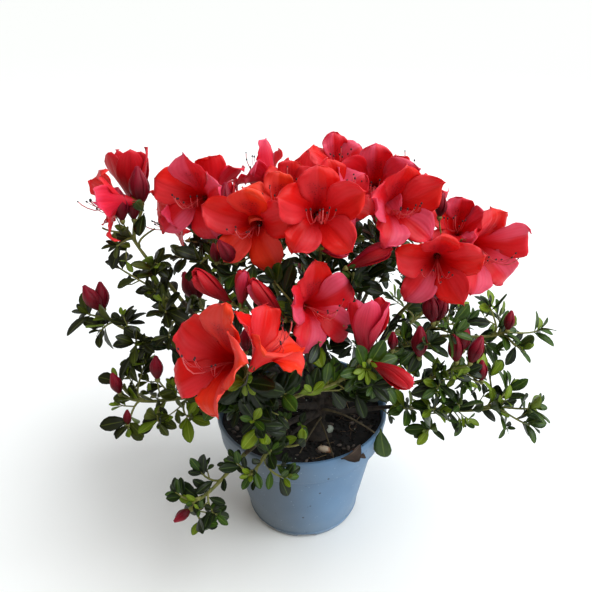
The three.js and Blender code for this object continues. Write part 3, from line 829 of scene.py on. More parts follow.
# A blossom's lobes: how far along its axis and how far out each of the shares of their length lies,
# as shares of the blossom's width. They are one tube up to `fused` and broadest at `widest`. `girth`
# is a free lobe's half width there, and `flat` how far it leaves the tube's curve for a flat blade.
LOBE_SHARES = (0.0, 0.14, 0.28, 0.42, 0.56, 0.70, 0.85, 1.0)
Form = namedtuple(
    "Form", "depths radii fused widest girth flat point ruffle spiral lap lean fold rows columns"
)

OPEN = Form(
    depths=(0.0, 0.125, 0.240, 0.340, 0.420, 0.482, 0.525, 0.545),
    radii=(0.026, 0.060, 0.112, 0.182, 0.268, 0.358, 0.445, 0.525),
    fused=0.36, widest=0.68, girth=0.208, flat=0.62, point=1.7, ruffle=0.056, spiral=0.0, lap=0.022,
    lean=0.22, fold=0.40, rows=23, columns=15,
)
CUP = Form(
    depths=(0.0, 0.14, 0.28, 0.43, 0.57, 0.72, 0.87, 1.0),
    radii=(0.030, 0.075, 0.135, 0.190, 0.235, 0.270, 0.290, 0.285),
    fused=0.24, widest=0.60, girth=0.205, flat=0.25, point=2.0, ruffle=0.022, spiral=0.25, lap=0.045,
    lean=0.10, fold=0.25, rows=17, columns=11,
)
HALF = Form(
    depths=(0.0, 0.14, 0.29, 0.44, 0.59, 0.73, 0.87, 1.0),
    radii=(0.030, 0.070, 0.118, 0.152, 0.172, 0.172, 0.146, 0.086),
    fused=0.22, widest=0.58, girth=0.165, flat=0.0, point=2.2, ruffle=0.010, spiral=0.75, lap=0.040,
    lean=0.05, fold=0.10, rows=17, columns=9,
)
BUD = Form(
    depths=(0.0, 0.13, 0.28, 0.44, 0.60, 0.75, 0.89, 1.0),
    radii=(0.060, 0.150, 0.222, 0.244, 0.218, 0.154, 0.080, 0.008),
    fused=0.16, widest=0.45, girth=0.200, flat=0.0, point=2.2, ruffle=0.0, spiral=0.85, lap=0.045,
    lean=0.0, fold=0.10, rows=13, columns=7,
)
CUP_WIDTH = 36
FORMS = {"open": OPEN, "half": HALF, "bud": BUD}


def form_of(blossom):
    if blossom.kind == "half" and blossom.width > CUP_WIDTH:
        return CUP
    return FORMS[blossom.kind]


# What the lobes of one blossom differ by: the range that each one's length, lean, curl, fold, twist,
# waves and girth are drawn from. The upper lobes lean out more and are broader than the lower ones.
FIRST_LOBE = 0.25
LENGTH_RANGE = (-0.05, 0.07)
LEAN_RANGE = (-0.5, 0.6)
UPPER_LEAN = 0.55
CURL_RANGE = (-0.15, 0.75)
FOLD_RANGE = (-0.6, 1.0)
TWIST_RANGE = (-0.25, 0.25)
WAVE_LAG_RANGE = (2.0, 4.0)
WAVE_PACE_RANGE = (1.1, 1.9)
GIRTH_RANGE = (0.92, 1.06)
UPPER_GIRTH = 1.13
LOWER_GIRTH = 0.97

# How pointed the lobes' tips are, from blunt to sharp, and how nearly a tip closes.
TIP_POWERS = (0.50, 0.92)
TIP_CLOSING = 0.999

# A lobe's relief: the crease down its middle, its pleats, and the waves and ripples of its edge.
CREASE_SOFTNESS = 0.03
CREASE_DEPTH = 0.17
PLEAT = 0.035
PLEATS = 1.2
WAVE_RISE = 1.7
RIPPLE = 0.35
RIPPLE_RISE = 3
RIPPLE_PACE = 2.7

# How its lean, curl and twist grow along it, and what they do to its tip.
LEAN_GROWTH = 1.5
CURL_GROWTH = 5
TWIST_GROWTH = 1.4
LEAN_INWARD = 0.4
CURL_INWARD = 0.25
TIP_OUT = 0.03
TIP_ASIDE = 0.06
SMALLEST_RADIUS = 0.001
SMALLEST_CURVE = 0.05

Habit = namedtuple("Habit", "length lean curl fold twist phase lag pace broad tip")


def lobe_habit(form, upward, draw):
    """What one lobe has of its own. `upward` is 1 for a lobe at the top and -1 at the bottom."""
    length = between(draw, LENGTH_RANGE)
    lean = form.lean * (between(draw, LEAN_RANGE) + UPPER_LEAN * upward)
    curl = form.lean * between(draw, CURL_RANGE)
    fold = form.fold * between(draw, FOLD_RANGE)
    twist = between(draw, TWIST_RANGE)
    phase, lag = FULL_TURN * draw(), between(draw, WAVE_LAG_RANGE)
    pace = between(draw, WAVE_PACE_RANGE)
    broad = form.girth * between(draw, GIRTH_RANGE) * (UPPER_GIRTH if upward > 0 else LOWER_GIRTH)
    return Habit(length, lean, curl, fold, twist, phase, lag, pace, broad, between(draw, TIP_POWERS))


def ease_in(share):
    return share * share * (3 - 2 * share)


def smooth(stations, values, at):
    """A smooth line through the values at the stations."""
    stations, values = np.array(stations), np.array(values)
    slopes = np.gradient(values, stations)
    cell = np.clip(np.searchsorted(stations, at, side="right") - 1, 0, len(stations) - 2)
    width = stations[cell + 1] - stations[cell]
    t = (at - stations[cell]) / width
    rise = ease_in(t)
    return (
        values[cell] * (1 - rise)
        + values[cell + 1] * rise
        + slopes[cell] * width * t * (1 - t) ** 2
        - slopes[cell + 1] * width * t * t * (1 - t)
    )


def lobe_points(form, lobe, draw):
    """One lobe of a blossom one unit wide that faces +X, as a grid from its base to its tip. The lobes
    make one tube at their base. Each then bends out, folds, twists and waves in a way of its own."""
    share = np.linspace(0, 1, form.rows)[:, None]
    across = np.linspace(-1, 1, form.columns)[None, :]
    middle = (lobe + FIRST_LOBE) * FULL_TURN / LOBES
    habit = lobe_habit(form, math.sin(middle), draw)
    phase = habit.phase + np.where(across > 0, habit.lag, 0.0)
    free = np.clip((share - form.fused) / (1 - form.fused), 0, 1)
    ease = ease_in(np.clip((share - form.fused) / (form.widest - form.fused), 0, 1))
    taper = np.clip((share - form.widest) / (1 - form.widest), 0, 1)
    depth = smooth(LOBE_SHARES, form.depths, share)
    radius = smooth(LOBE_SHARES, form.radii, share)

    # Half the lobe's width: a fifth of the tube, then its own outline.
    tube_half = radius * math.pi / LOBES
    outline = habit.broad * (1 - TIP_CLOSING * taper**form.point) ** habit.tip
    half = tube_half * (1 - ease) + outline * ease
    side = half * across

    # Across, a lobe leaves the tube's curve for a flatter blade with a crease down its middle.
    bend = np.maximum(radius, SMALLEST_RADIUS) / np.maximum(1 - form.flat * ease, SMALLEST_CURVE)
    turn = side / bend
    inward = bend * (1 - np.cos(turn))
    along_rim = bend * np.sin(turn)
    crease = habit.fold * ease * (np.sqrt(across**2 + CREASE_SOFTNESS) - CREASE_DEPTH) * half
    crease = crease + PLEAT * ease * np.cos(FULL_TURN * PLEATS * across + phase) * half
    ripple = np.sin(FULL_TURN * RIPPLE_PACE * habit.pace * free + 2 * phase)
    wave = np.abs(across) ** WAVE_RISE * np.sin(FULL_TURN * habit.pace * free + phase)
    wave = form.ruffle * free * (wave + RIPPLE * np.abs(across) ** RIPPLE_RISE * ripple)
    over = form.lap * ease * across
    roll = habit.twist * free**TWIST_GROWTH
    lift = crease + wave + over + np.sin(roll) * side

    # The lobe's own upward direction leans from the tube's inside to the blossom's front.
    outward, onward = np.gradient(form.radii), np.gradient(form.depths)
    front = np.clip(smooth(LOBE_SHARES, outward / np.hypot(outward, onward), share), 0, 1)
    inside = np.sqrt(1 - front**2)
    lean, curl = habit.lean * free**LEAN_GROWTH, habit.curl * free**CURL_GROWTH
    depth = depth + lean - curl + lift * front
    out = radius * (1 + free * habit.length) - LEAN_INWARD * lean - CURL_INWARD * curl
    out = out - inward - lift * inside + TIP_OUT * taper**3 * (1 - np.abs(across))
    side = along_rim * np.cos(roll) + TIP_ASIDE * habit.twist * free**2
    angle = middle + form.spiral * free
    y = out * np.cos(angle) - side * np.sin(angle)
    z = out * np.sin(angle) + side * np.cos(angle)
    return np.stack(np.broadcast_arrays(depth, y, z), axis=-1)


UPPER_LOBE = 1


def add_corolla(heap, blossom, draw, tones):
    """A blossom's five lobes, each in one of the tones. The upper one of an open blossom is blotched."""
    form = form_of(blossom)
    frame = frame_along(facing(blossom))
    surface = surface_grid(np.linspace(0, 1, form.columns), np.linspace(0, 1, form.rows))
    faces = grid_faces(form.rows, form.columns)[:, ::-1]
    for lobe in range(LOBES):
        points = lobe_points(form, lobe, draw).reshape(-1, 3) * blossom.width
        tone = tones[int(len(tones) * draw())]
        finish = 2 * tone + (lobe == UPPER_LOBE) if blossom.kind == "open" else tone
        heap.add(points @ frame + place(blossom.base), faces, surface, finish)


# The stamens' finishes, and the plug that closes an open blossom's throat.
FILAMENT, ANTHER, STYLE, THROAT = range(4)
THROAT_DEPTHS = (0.0, 0.05, 0.09)
THROAT_RADII = (0.024, 0.032, 0.020)
THROAT_SIDES = 7

# How many stamens a blossom has, and how far they and the style fan out, reach, drop and lift, as
# shares of the blossom's width.
FEWEST_STAMENS = 5
MORE_STAMENS = 3
STAMEN_FAN = 0.42
STAMEN_STRAY = (-0.04, 0.04)
STYLE_STRAY = (-0.06, 0.06)
STAMEN_REACH = (0.56, 0.72)
STYLE_REACH = (0.80, 0.86)
STAMEN_DROP = (0.10, 0.15)
STAMEN_LIFT = (0.05, 0.13)

# A stamen's line starts at `ROOT`, leaves the tube at `MOUTH`, and goes on through knots, each at a
# share of its way onward, aside, down and up.
STAMEN_ROOT = (0.10, 0.0, 0.0)
STAMEN_MOUTH = (0.24, 0.12, -0.025)
STAMEN_KNOTS = ((0.3, 0.35, 0.7, 0), (0.6, 0.65, 1, 0), (0.85, 0.9, 1, 0.45), (1, 1, 1, 1.1))
STAMEN_RINGS = 9
STAMEN_SIDES = 4
STAMEN_GIRTHS = (0.30, 0.20)
STYLE_GIRTHS = (0.42, 0.34)

# The knob at its end: a stamen's long anther or the style's round tip.
KNOB_STATIONS = (-0.9, -0.3, 0.4, 1.1)
KNOB_RADII = (0.5, 1.0, 0.95, 0.45)
KNOB_SIDES = 5
ANTHER_SIZE, ANTHER_STRETCH = 0.62, 1.25
TIP_SIZE, TIP_STRETCH = 0.55, 0.8


def stamen_line(number, count, draw):
    """The line of one stamen on a blossom one unit wide, or of the style, which comes last."""
    is_style = number == count
    aside = (number - (count - 1) / 2) / count * STAMEN_FAN + between(draw, STAMEN_STRAY)
    aside = between(draw, STYLE_STRAY) if is_style else aside
    reach = between(draw, STYLE_REACH if is_style else STAMEN_REACH)
    drop, lift = between(draw, STAMEN_DROP), between(draw, STAMEN_LIFT)
    mouth, mouth_aside, mouth_drop = STAMEN_MOUTH
    path = [STAMEN_ROOT, (mouth, aside * mouth_aside, mouth_drop)]
    for onward, sideways, down, up in STAMEN_KNOTS:
        path.append((within((mouth, reach), onward), aside * sideways, lift * up - drop * down))
    path = np.array(path)
    shares, knots = np.linspace(0, 1, STAMEN_RINGS), np.linspace(0, 1, len(path))
    return np.stack([smooth(knots, path[:, axis], shares) for axis in range(3)], axis=1)


def add_stamens(heap, blossom, draw):
    """Stamens that lean out along the lower lobes and lift at their ends, and a longer style."""
    frame = frame_along(facing(blossom))
    base = place(blossom.base)
    plug = base + np.outer(np.array(THROAT_DEPTHS) * blossom.width, frame[0])
    tube(heap, plug, np.array(THROAT_RADII) * blossom.width, THROAT_SIDES, THROAT)
    count = FEWEST_STAMENS + int(MORE_STAMENS * draw())
    for number in range(count + 1):
        is_style = number == count
        line = (stamen_line(number, count, draw) * blossom.width) @ frame + base
        girths = np.linspace(*(STYLE_GIRTHS if is_style else STAMEN_GIRTHS), len(line))
        tube(heap, line, girths, STAMEN_SIDES, STYLE if is_style else FILAMENT)
        end, onward = line[-1], unit(line[-1] - line[-2])
        size, stretch = (TIP_SIZE, TIP_STRETCH) if is_style else (ANTHER_SIZE, ANTHER_STRETCH)
        knob = end + np.outer(np.array(KNOB_STATIONS) * stretch, onward) * size
        tube(heap, knob, np.array(KNOB_RADII) * size, KNOB_SIDES, ANTHER)


# Leaf tones, each with a finish for its upper side and one for its underside.
DARK, MID, YOUNG, DEAD, SHADE_OLIVE_DARK, SHADE_OLIVE_MID = range(6)


def leaf_frame(root, direction):
    """A frame along a leaf whose upper side leans away from the shrub's middle and to the window."""
    away = np.array((root[0] - TRUNK_FORK[0], root[1] - TRUNK_FORK[1], 0.0))
    outward = away / max(np.linalg.norm(away), LEAST_DISTANCE)
    above = UP + LEAF_LEAN * outward + place(LEAF_LIGHT)
    across = np.cross(above, direction)
    if np.linalg.norm(across) < ALONG_LIMIT:
        return frame_along(direction)
    across = unit(across)
    return np.array((direction, across, np.cross(direction, across)))


class LeafRows:
    """Leaves waiting to be placed: where each starts, its frame, its size, its form and its tone."""

    def __init__(self):
        self.rows = []

    def add(self, root, direction, size, roll, form, tone):
        frame = leaf_frame(root, direction)
        level, lifted = math.cos(roll), math.sin(roll)
        across, above = frame[1] * level + frame[2] * lifted, frame[2] * level - frame[1] * lifted
        self.rows.append((root, np.array((frame[0], across, above)), size, form, tone))

    def fill(self, heap, forms):
        for number, form in enumerate(forms):
            rows = [row for row in self.rows if row[3] == number]
            if rows:
                roots, frames, sizes, _, tones = map(np.array, zip(*rows))
                add_blades(heap, form, roots, frames, sizes, tones)


# The room round each kind of blossom which no leaf enters: its length, how far out it goes at
# shares of it, and how far leaves and twigs stay off it.
ROOM_LENGTH = 1.05
LEAF_MARGIN = 1.5
TWIGLET_MARGIN = 3
ROOM_GIRTHS = {
    "open": ((0, 0.27, 0.42, 0.5, 1.0), (0.03, 0.14, 0.42, 0.5, 0.36)),
    "half": ((0, 1.0), (0.2, 0.2)),
    "bud": ((0, 1.0), (0.36, 0.36)),
}


def blossom_rooms():
    """Each blossom's place, axis, width and kind, which say what room it takes."""
    return [
        (place(blossom.base), facing(blossom), blossom.width, blossom.kind)
        for spray in SPRAYS for blossom in spray.blossoms
    ]


ROOMS = blossom_rooms()


def in_blossom(point, margin=LEAF_MARGIN):
    for base, axis, width, kind in ROOMS:
        offset = point - base
        depth = offset.dot(axis)
        if not -margin < depth < width * ROOM_LENGTH + margin:
            continue
        out = np.linalg.norm(offset - axis * depth)
        if out < width * np.interp(depth / width, *ROOM_GIRTHS[kind]) + margin:
            return True
    return False


def leaf_stands(number, root, direction, size):
    """A leaf is kept in its own spray's space and out of every blossom and the pot's wall."""
    middle = root + direction * size * LEAF_WIDEST
    end = root + direction * size
    if nearest_spray(middle) != number or in_blossom(middle) or in_blossom(end):
        return False
    return all(clear_of_pot(point) and not in_bare_place(point) for point in (middle, end))


def in_bare_place(point):
    """Before the patch of peat that shows at the front, or before the bare stem above it."""
    return any(np.all(np.array(low) < point) and np.all(point < high) for low, high in BARE_PLACES)


# How far leaves and twigs stay above the rim and the peat, and off the pot's side.
ABOVE_RIM = 1
ABOVE_SOIL = 2
OFF_POT = 1.5


def clear_of_pot(point):
    out = math.hypot(point[0], point[1])
    if point[2] > POT_HEIGHT + ABOVE_RIM:
        return True
    if out < RIM_RADIUS - RIM_WALL - BAND_DRAFT:
        return point[2] > SOIL_TOP + ABOVE_SOIL
    share = np.clip(point[2] / POT_HEIGHT, 0, 1)
    return out > within((BASE_RADIUS, RIM_RADIUS), share) + OFF_POT


def leaf_tone(number, draw, young):
    """A leaf's tone: young ones are paler, lit sprays have more pale ones, partly as painted light,
    and those of the shrub's shaded side are olive, as painted warm shade.
    """
    pick = draw()
    name = SPRAYS[number].name
    # Lit sprays have fewer dark leaves: partly painted light.
    dark, green = LIT_TONE_SHARES if name in LIT_SPRAYS else TONE_SHARES
    if young:
        tone = YOUNG if pick < PALEST_SHARE else MID
    else:
        tone = DARK if pick < dark else (MID if pick < dark + green else YOUNG)
    # Painted warm shade: leaves of the shaded side get olive tones.
    if name in SHADE_OLIVE_SPRAYS:
        tone = {DARK: SHADE_OLIVE_DARK, MID: SHADE_OLIVE_MID}.get(tone, tone)
    return tone


def young_share(number):
    """How many of a spray's tips are young: more in lit sprays, partly as painted light."""
    return LIT_YOUNG_SHARE if SPRAYS[number].name in LIT_SPRAYS else YOUNG_SHARE


def spread_out(number, spacing):
    """A spacing as it is in a spray, wider or closer than the others'."""
    name = SPRAYS[number].name
    if name in SPARSE_SPRAYS:
        return spacing * SPARSE_FACTOR
    return spacing * (CROWDED_FACTOR if name in CROWDED_SPRAYS else 1)


def leaf_scale(number):
    name = SPRAYS[number].name
    if name in BROAD_LEAF_SPRAYS:
        return 1.0
    return FINE_LEAF if name in FINE_LEAF_SPRAYS else SMALL_LEAF


def try_leaf(leaves, number, draw, root, direction, size, roll, young):
    """Adds a leaf where it has room."""
    if leaf_stands(number, root, direction, size):
        form = int(LEAF_FORMS * draw())
        leaves.add(root, direction, size, roll, form, leaf_tone(number, draw, young))


def clothe(leaves, number, line, draw, sizes, rosette, rosette_sizes, young):
    """Leaves along a shoot by the golden angle, and a rosette round its tip."""
    turn = FULL_TURN * draw()
    at = LEAF_FREE_LENGTH
    while at < line.length - LEAF_FREE_LENGTH / 2:
        turn += GOLDEN_ANGLE
        share = at / line.length
        direction = outward_from(line, share, turn, LEAF_SPREAD)
        size = between(draw, sizes) * leaf_scale(number)
        roll = LEAF_ROLL * (draw() - 0.5)
        try_leaf(leaves, number, draw, line.at(share), direction, size, roll, False)
        at += spread_out(number, LEAF_SPACING) * between(draw, SPACING_RANGE)
    for k in range(rosette):
        turn += GOLDEN_ANGLE
        share = max(0.0, 1 - ROSETTE_STEP * (k + ROSETTE_SETBACK) / line.length)
        direction = outward_from(line, share, turn, within(ROSETTE_SPREADS, (k + 1) / rosette))
        inner = within((INNER_SIZE, 1), k / rosette)
        size = between(draw, rosette_sizes) * inner * leaf_scale(number)
        roll = ROSETTE_ROLL * LEAF_ROLL * (draw() - 0.5)
        fresh = young and k < rosette * FRESH_SHARE
        try_leaf(leaves, number, draw, line.at(share), direction, size, roll, fresh)


def grow_finer(leaves, twigs, number, limb, draw, first=TWIGLET_FREE_LENGTH):
    """Twiglets along a shoot, each with its own few leaves."""
    line = limb.line
    turn = FULL_TURN * draw()
    at = first
    while at < line.length - TWIGLET_FREE_LENGTH:
        turn += GOLDEN_ANGLE
        share = at / line.length
        into = outward_from(line, share, turn, TWIGLET_SPREAD)
        start = line.at(share)
        end = start + into * between(draw, TWIGLET_REACH)
        if nearest_spray(end) == number and not in_blossom(end, TWIGLET_MARGIN) and clear_of_pot(end):
            curve = Curve(start, into, end, unit(into + UP * UPWARD))
            twiglet = Limb(curve, TWIGLET_STEPS, TWIGLET_RADIUS, TWIGLET_RADIUS * TIP_SHARE)
            limb_tube(twigs, twiglet, TWIGLET_RING, TWIGLET_SIDES)
            count = FEWEST_TWIGLET_LEAVES + int(draw() * MORE_TWIGLET_LEAVES)
            is_young = draw() < young_share(number)
            clothe(leaves, number, curve, draw, TWIGLET_LEAF_SIZE, count, TWIGLET_LEAF_SIZE, is_young)
        at += spread_out(number, TWIGLET_SPACING) * between(draw, SPACING_RANGE)


# Peat: its mesh, and its relief as mounds, clods and crumb, each with a pace, a layer and a height.
PEAT_RADIUS = 60.8
PEAT_RINGS = 56
PEAT_SECTORS = 168
PEAT_DROP = 1.2
PEAT_RELIEF = 2.2
PEAT_FORMS = ((0.05, 1.7, 0.9), (0.22, 4.1, 0.7), (0.9, 9.3, 0.35))
PEAT_SEED = 7001

# The soil's finishes, in the order of their slots.
PEAT, CRUMB, CHIP, GRAIN, BROWN_ROOT, TAN_ROOT, TAN_STONE = range(7)

# Crumbs, bark chips and pale grains: their shares, sizes, shapes, tilt and rough sides, and how high
# they lie.
CRUMBS = 1100
CRUMB_INSET = 2.5
CHIP_SHARE = 0.16
GRAIN_SHARE = 0.035
PALE_CHIP_SHARE = 0.5
CHIP_SIZES = (3.0, 7.5)
CRUMB_SIZES = (0.8, 2.8)
GRAIN_SIZES = (0.8, 1.6)
CHIP_WIDTHS = (0.45, 0.65)
CHIP_THICKNESS = 0.22
CRUMB_SHAPE = (1, 0.8, 0.7)
CRUMB_TILTS = (-0.45, 0.45)
CRUMB_ROUGHNESS = 0.35
CRUMB_PACE = 3
CHIP_LIFT = 0.10
CRUMB_LIFT = 0.2

# Stones: where each lies, its half length, half width and half height, its turn and its finish.
STONES = (((20, -23), (4.2, 3.2, 2.6), 0.9, GRAIN), ((16, -42), (5.2, 2.9, 2.4), -0.35, TAN_STONE))
STONE_RINGS = 9
STONE_SIDES = 12
STONE_ENDS = (0.06, 0.94)
STONE_RISE = 0.55

# Fine roots: how far in they start and end, their points, arch, wandering, steps and girths.
ROOTS = 70
ROOT_START_INSET = 12
ROOT_INSET = 2
ROOT_POINTS = 9
FEWEST_ROOT_POINTS = 4
ROOT_ARCH = 1.2
ROOT_LIFT = 0.4
ROOT_WANDER = 1.1
ROOT_STEPS = (1.4, 3.2)
ROOT_GIRTHS = (0.14, 0.34)
ROOT_SIDES = 4
BROWN_SHARE = 0.6


def peat_height(x, y):
    """The peat's surface: low mounds, clods and a fine crumb."""
    relief = 0
    for pace, layer, height in PEAT_FORMS:
        relief += height * noise.noise(Vector((x * pace, y * pace, layer)))
    return SOIL_TOP - PEAT_DROP + PEAT_RELIEF * relief


def add_peat(heap):
    """A closed plug of peat that fills the pot, with a rough top."""
    turns = np.arange(PEAT_SECTORS) / PEAT_SECTORS * FULL_TURN
    band_foot = POT_HEIGHT - RIM_BAND
    inner = RIM_RADIUS - BAND_DRAFT - RIM_WALL - SOIL_CLEARANCE
    wall = [
        (inner, band_foot + SOIL_CLEARANCE),
        (SHOULDER_RADIUS - BODY_WALL - SOIL_CLEARANCE, band_foot - SHOULDER_DROP),
        (BASE_RADIUS - BODY_WALL - SOIL_CLEARANCE, FLOOR + CLEARANCE),
    ]
    points = []
    for radius in PEAT_RADIUS * np.linspace(0, 1, PEAT_RINGS + 1)[1:]:
        ring = [(radius * math.cos(turn), radius * math.sin(turn)) for turn in turns]
        points += [(x, y, peat_height(x, y)) for x, y in ring]
    for radius, height in wall:
        points += [(radius * math.cos(turn), radius * math.sin(turn), height) for turn in turns]
    points += [(0, 0, peat_height(0, 0)), (0, 0, FLOOR + CLEARANCE)]
    heap.add(points, inside_out(ring_faces(PEAT_RINGS + len(wall), PEAT_SECTORS)), None, PEAT)


def lump_template():
    """A lump one unit across with a few flat sides, from an icosphere."""
    bpy.ops.object.select_all(action="DESELECT")
    bpy.ops.mesh.primitive_ico_sphere_add(subdivisions=1, radius=0.5)
    lump = bpy.context.object
    points = np.array([vertex.co for vertex in lump.data.vertices])
    faces = np.array([(*face.vertices, -1) for face in lump.data.polygons])
    bpy.data.meshes.remove(lump.data)
    return points, faces


def spot_on_peat(draw, inset):
    out, turn = (PEAT_RADIUS - inset) * math.sqrt(draw()), FULL_TURN * draw()
    return out * math.cos(turn), out * math.sin(turn)


def add_crumbs(heap, draw):
    """Peat crumbs, bark chips and pale grains, each a squashed and turned lump."""
    lump, faces = lump_template()
    for _ in range(CRUMBS):
        x, y = spot_on_peat(draw, CRUMB_INSET)
        is_chip = draw() < CHIP_SHARE
        is_grain = draw() < GRAIN_SHARE
        size = between(draw, CHIP_SIZES if is_chip else CRUMB_SIZES)
        size = between(draw, GRAIN_SIZES) if is_grain else size
        shape = (1, between(draw, CHIP_WIDTHS), CHIP_THICKNESS) if is_chip else CRUMB_SHAPE
        spin = Matrix.Rotation(FULL_TURN * draw(), 3, "Z")
        turned = spin @ Matrix.Rotation(between(draw, CRUMB_TILTS), 3, "X")
        rough = [1 + CRUMB_ROUGHNESS * noise.noise(Vector(point * CRUMB_PACE + x)) for point in lump]
        points = (lump * np.array(rough)[:, None] * np.array(shape) * size) @ np.array(turned).T
        lift = (CHIP_LIFT if is_chip else CRUMB_LIFT) * size
        finish = CHIP if is_chip and not is_grain and draw() < PALE_CHIP_SHARE else CRUMB
        finish = GRAIN if is_grain else finish
        heap.add(points + (x, y, peat_height(x, y) + lift), faces, None, finish)


def add_stone(heap, centre, size, turn, finish):
    """A smooth stone: an ellipsoid of rings with its foot sunk into the peat."""
    x, y = centre
    length, width, height = size
    steps = np.linspace(*STONE_ENDS, STONE_RINGS) * math.pi
    middle = np.array((x, y, peat_height(x, y) + height * STONE_RISE))
    line = middle + np.outer(np.cos(steps) * length, (math.cos(turn), math.sin(turn), 0))
    spokes = np.arange(STONE_SIDES) / STONE_SIDES * FULL_TURN
    oval = width * height / np.hypot(height * np.cos(spokes), width * np.sin(spokes))
    tube(heap, line, np.sin(steps)[:, None] * oval, STONE_SIDES, finish)


def add_roots(heap, draw):
    """Fine roots and fallen stalks that wander over the peat."""
    for _ in range(ROOTS):
        x, y = spot_on_peat(draw, ROOT_START_INSET)
        heading = FULL_TURN * draw()
        line = []
        for k in range(ROOT_POINTS):
            if math.hypot(x, y) > PEAT_RADIUS - ROOT_INSET:
                break
            arch = ROOT_ARCH * math.sin(k / (ROOT_POINTS - 1) * math.pi) * draw()
            line.append((x, y, peat_height(x, y) + ROOT_LIFT + arch))
            heading += ROOT_WANDER * (draw() - 0.5)
            step = between(draw, ROOT_STEPS)
            x, y = x + step * math.cos(heading), y + step * math.sin(heading)
        if len(line) >= FEWEST_ROOT_POINTS:
            girth = between(draw, ROOT_GIRTHS)
            finish = BROWN_ROOT if draw() < BROWN_SHARE else TAN_ROOT
            tube(heap, line, np.full(len(line), girth), ROOT_SIDES, finish)


# Pot: its mesh, the roundings of its foot, shoulder, bead and lip, and the notches under its foot.
POT_SECTORS = 144
DISC_HEIGHT = 0.3
FLOOR_INSETS = 3
SMOOTH_ANGLE = 38
FACING_UP = 0.9
FOOT_TOP = 4.2
FOOT_STEP = 0.6
SHOULDER_ROUND = 0.9
BEAD_FOOT = 5.0
BEAD_STEP = 0.6
LIP_ROUND = 0.9
EDGE = 0.1
FOOT_NOTCHES = (92, 160, 230, 272, 340, 30)
NOTCH_HALF_SPAN = 9
NOTCH_LIFT = 1.6
NOTCH_TOP = 1.0
NOTCH_DEPTH = 0.5


def select_only(piece):
    bpy.ops.object.select_all(action="DESELECT")
    piece.select_set(True)
    bpy.context.view_layer.objects.active = piece


def apply_modifier(piece, kind, **settings):
    select_only(piece)
    modifier = piece.modifiers.new(kind.title(), kind)
    for setting, value in settings.items():
        setattr(modifier, setting, value)
    bpy.ops.object.modifier_apply(modifier=modifier.name)


def pot_profile():
    """The moulded cup's section, from the base's edge up the outside and down the inside."""
    band_foot = POT_HEIGHT - RIM_BAND
    shoulder = band_foot - SHOULDER_DROP
    foot_ring = within((BASE_RADIUS, SHOULDER_RADIUS), FOOT_TOP / shoulder)
    band_radius, bead = RIM_RADIUS - BAND_DRAFT, POT_HEIGHT - BEAD_FOOT
    inner_rim = RIM_RADIUS - RIM_WALL
    return [
        (BASE_RADIUS - 0.5, 0.9),
        (foot_ring - EDGE, FOOT_TOP - 0.2),
        (foot_ring - EDGE - FOOT_STEP, FOOT_TOP + 0.4),
        (SHOULDER_RADIUS - 0.3, shoulder - 3.0),
        (SHOULDER_RADIUS, shoulder - 0.4),
        (SHOULDER_RADIUS + SHOULDER_ROUND, shoulder + 0.5),
        (band_radius - SHOULDER_ROUND, band_foot - 0.4),
        (band_radius, band_foot + 0.8),
        (RIM_RADIUS - EDGE - BEAD_STEP, bead),
        (RIM_RADIUS - EDGE, bead + BEAD_STEP),
        (RIM_RADIUS, POT_HEIGHT - LIP_ROUND - EDGE),
        (RIM_RADIUS - 0.5, POT_HEIGHT - 0.15),
        (RIM_RADIUS - RIM_WALL / 2, POT_HEIGHT),
        (inner_rim + 0.4, POT_HEIGHT - 0.2),
        (inner_rim, POT_HEIGHT - LIP_ROUND),
        (inner_rim - BAND_DRAFT, band_foot),
        (SHOULDER_RADIUS - BODY_WALL, shoulder),
        (BASE_RADIUS - BODY_WALL, FLOOR),
    ]


def make_pot():
    """A disc is drawn up through the section, ring by ring, and its inner floor is left flat."""
    bpy.ops.object.select_all(action="DESELECT")
    radius, height = BASE_RADIUS - BASE_EDGE, DISC_HEIGHT
    bpy.ops.mesh.primitive_cylinder_add(
        vertices=POT_SECTORS, radius=radius * MM, depth=height * MM, location=(0, 0, height / 2 * MM)
    )
    pot = bpy.context.object
    pot.name = "pot_shell"
    bpy.ops.object.mode_set(mode="EDIT")
    bpy.ops.mesh.select_mode(type="FACE")
    bpy.ops.mesh.select_all(action="DESELECT")
    bpy.ops.object.mode_set(mode="OBJECT")
    for face in pot.data.polygons:
        face.select = face.normal.z > FACING_UP
    bpy.ops.object.mode_set(mode="EDIT")
    for next_radius, next_height in pot_profile():
        rise = (0, 0, (next_height - height) * MM)
        bpy.ops.mesh.extrude_region_move(TRANSFORM_OT_translate={"value": rise})
        bpy.ops.transform.resize(value=(next_radius / radius, next_radius / radius, 1))
        radius, height = next_radius, next_height
    for _ in range(FLOOR_INSETS):
        bpy.ops.mesh.inset(thickness=radius / (FLOOR_INSETS + 1) * MM)
    bpy.ops.object.mode_set(mode="OBJECT")
    select_only(pot)
    bpy.ops.object.transform_apply(location=True, rotation=True, scale=True)
    lift_notches(pot)
    bpy.ops.object.shade_smooth_by_angle(angle=math.radians(SMOOTH_ANGLE))
    return pot


def lift_notches(pot):
    """Shallow notches under the foot ring, where water drains."""
    inner = BASE_RADIUS - BASE_EDGE - NOTCH_DEPTH
    for vertex in pot.data.vertices:
        bearing = math.degrees(math.atan2(vertex.co.y, vertex.co.x)) % 360
        near = min(abs((bearing - notch + 180) % 360 - 180) for notch in FOOT_NOTCHES)
        out = math.hypot(vertex.co.x, vertex.co.y) / MM
        if near < NOTCH_HALF_SPAN and vertex.co.z < NOTCH_TOP * MM and out > inner:
            vertex.co.z += NOTCH_LIFT * MM


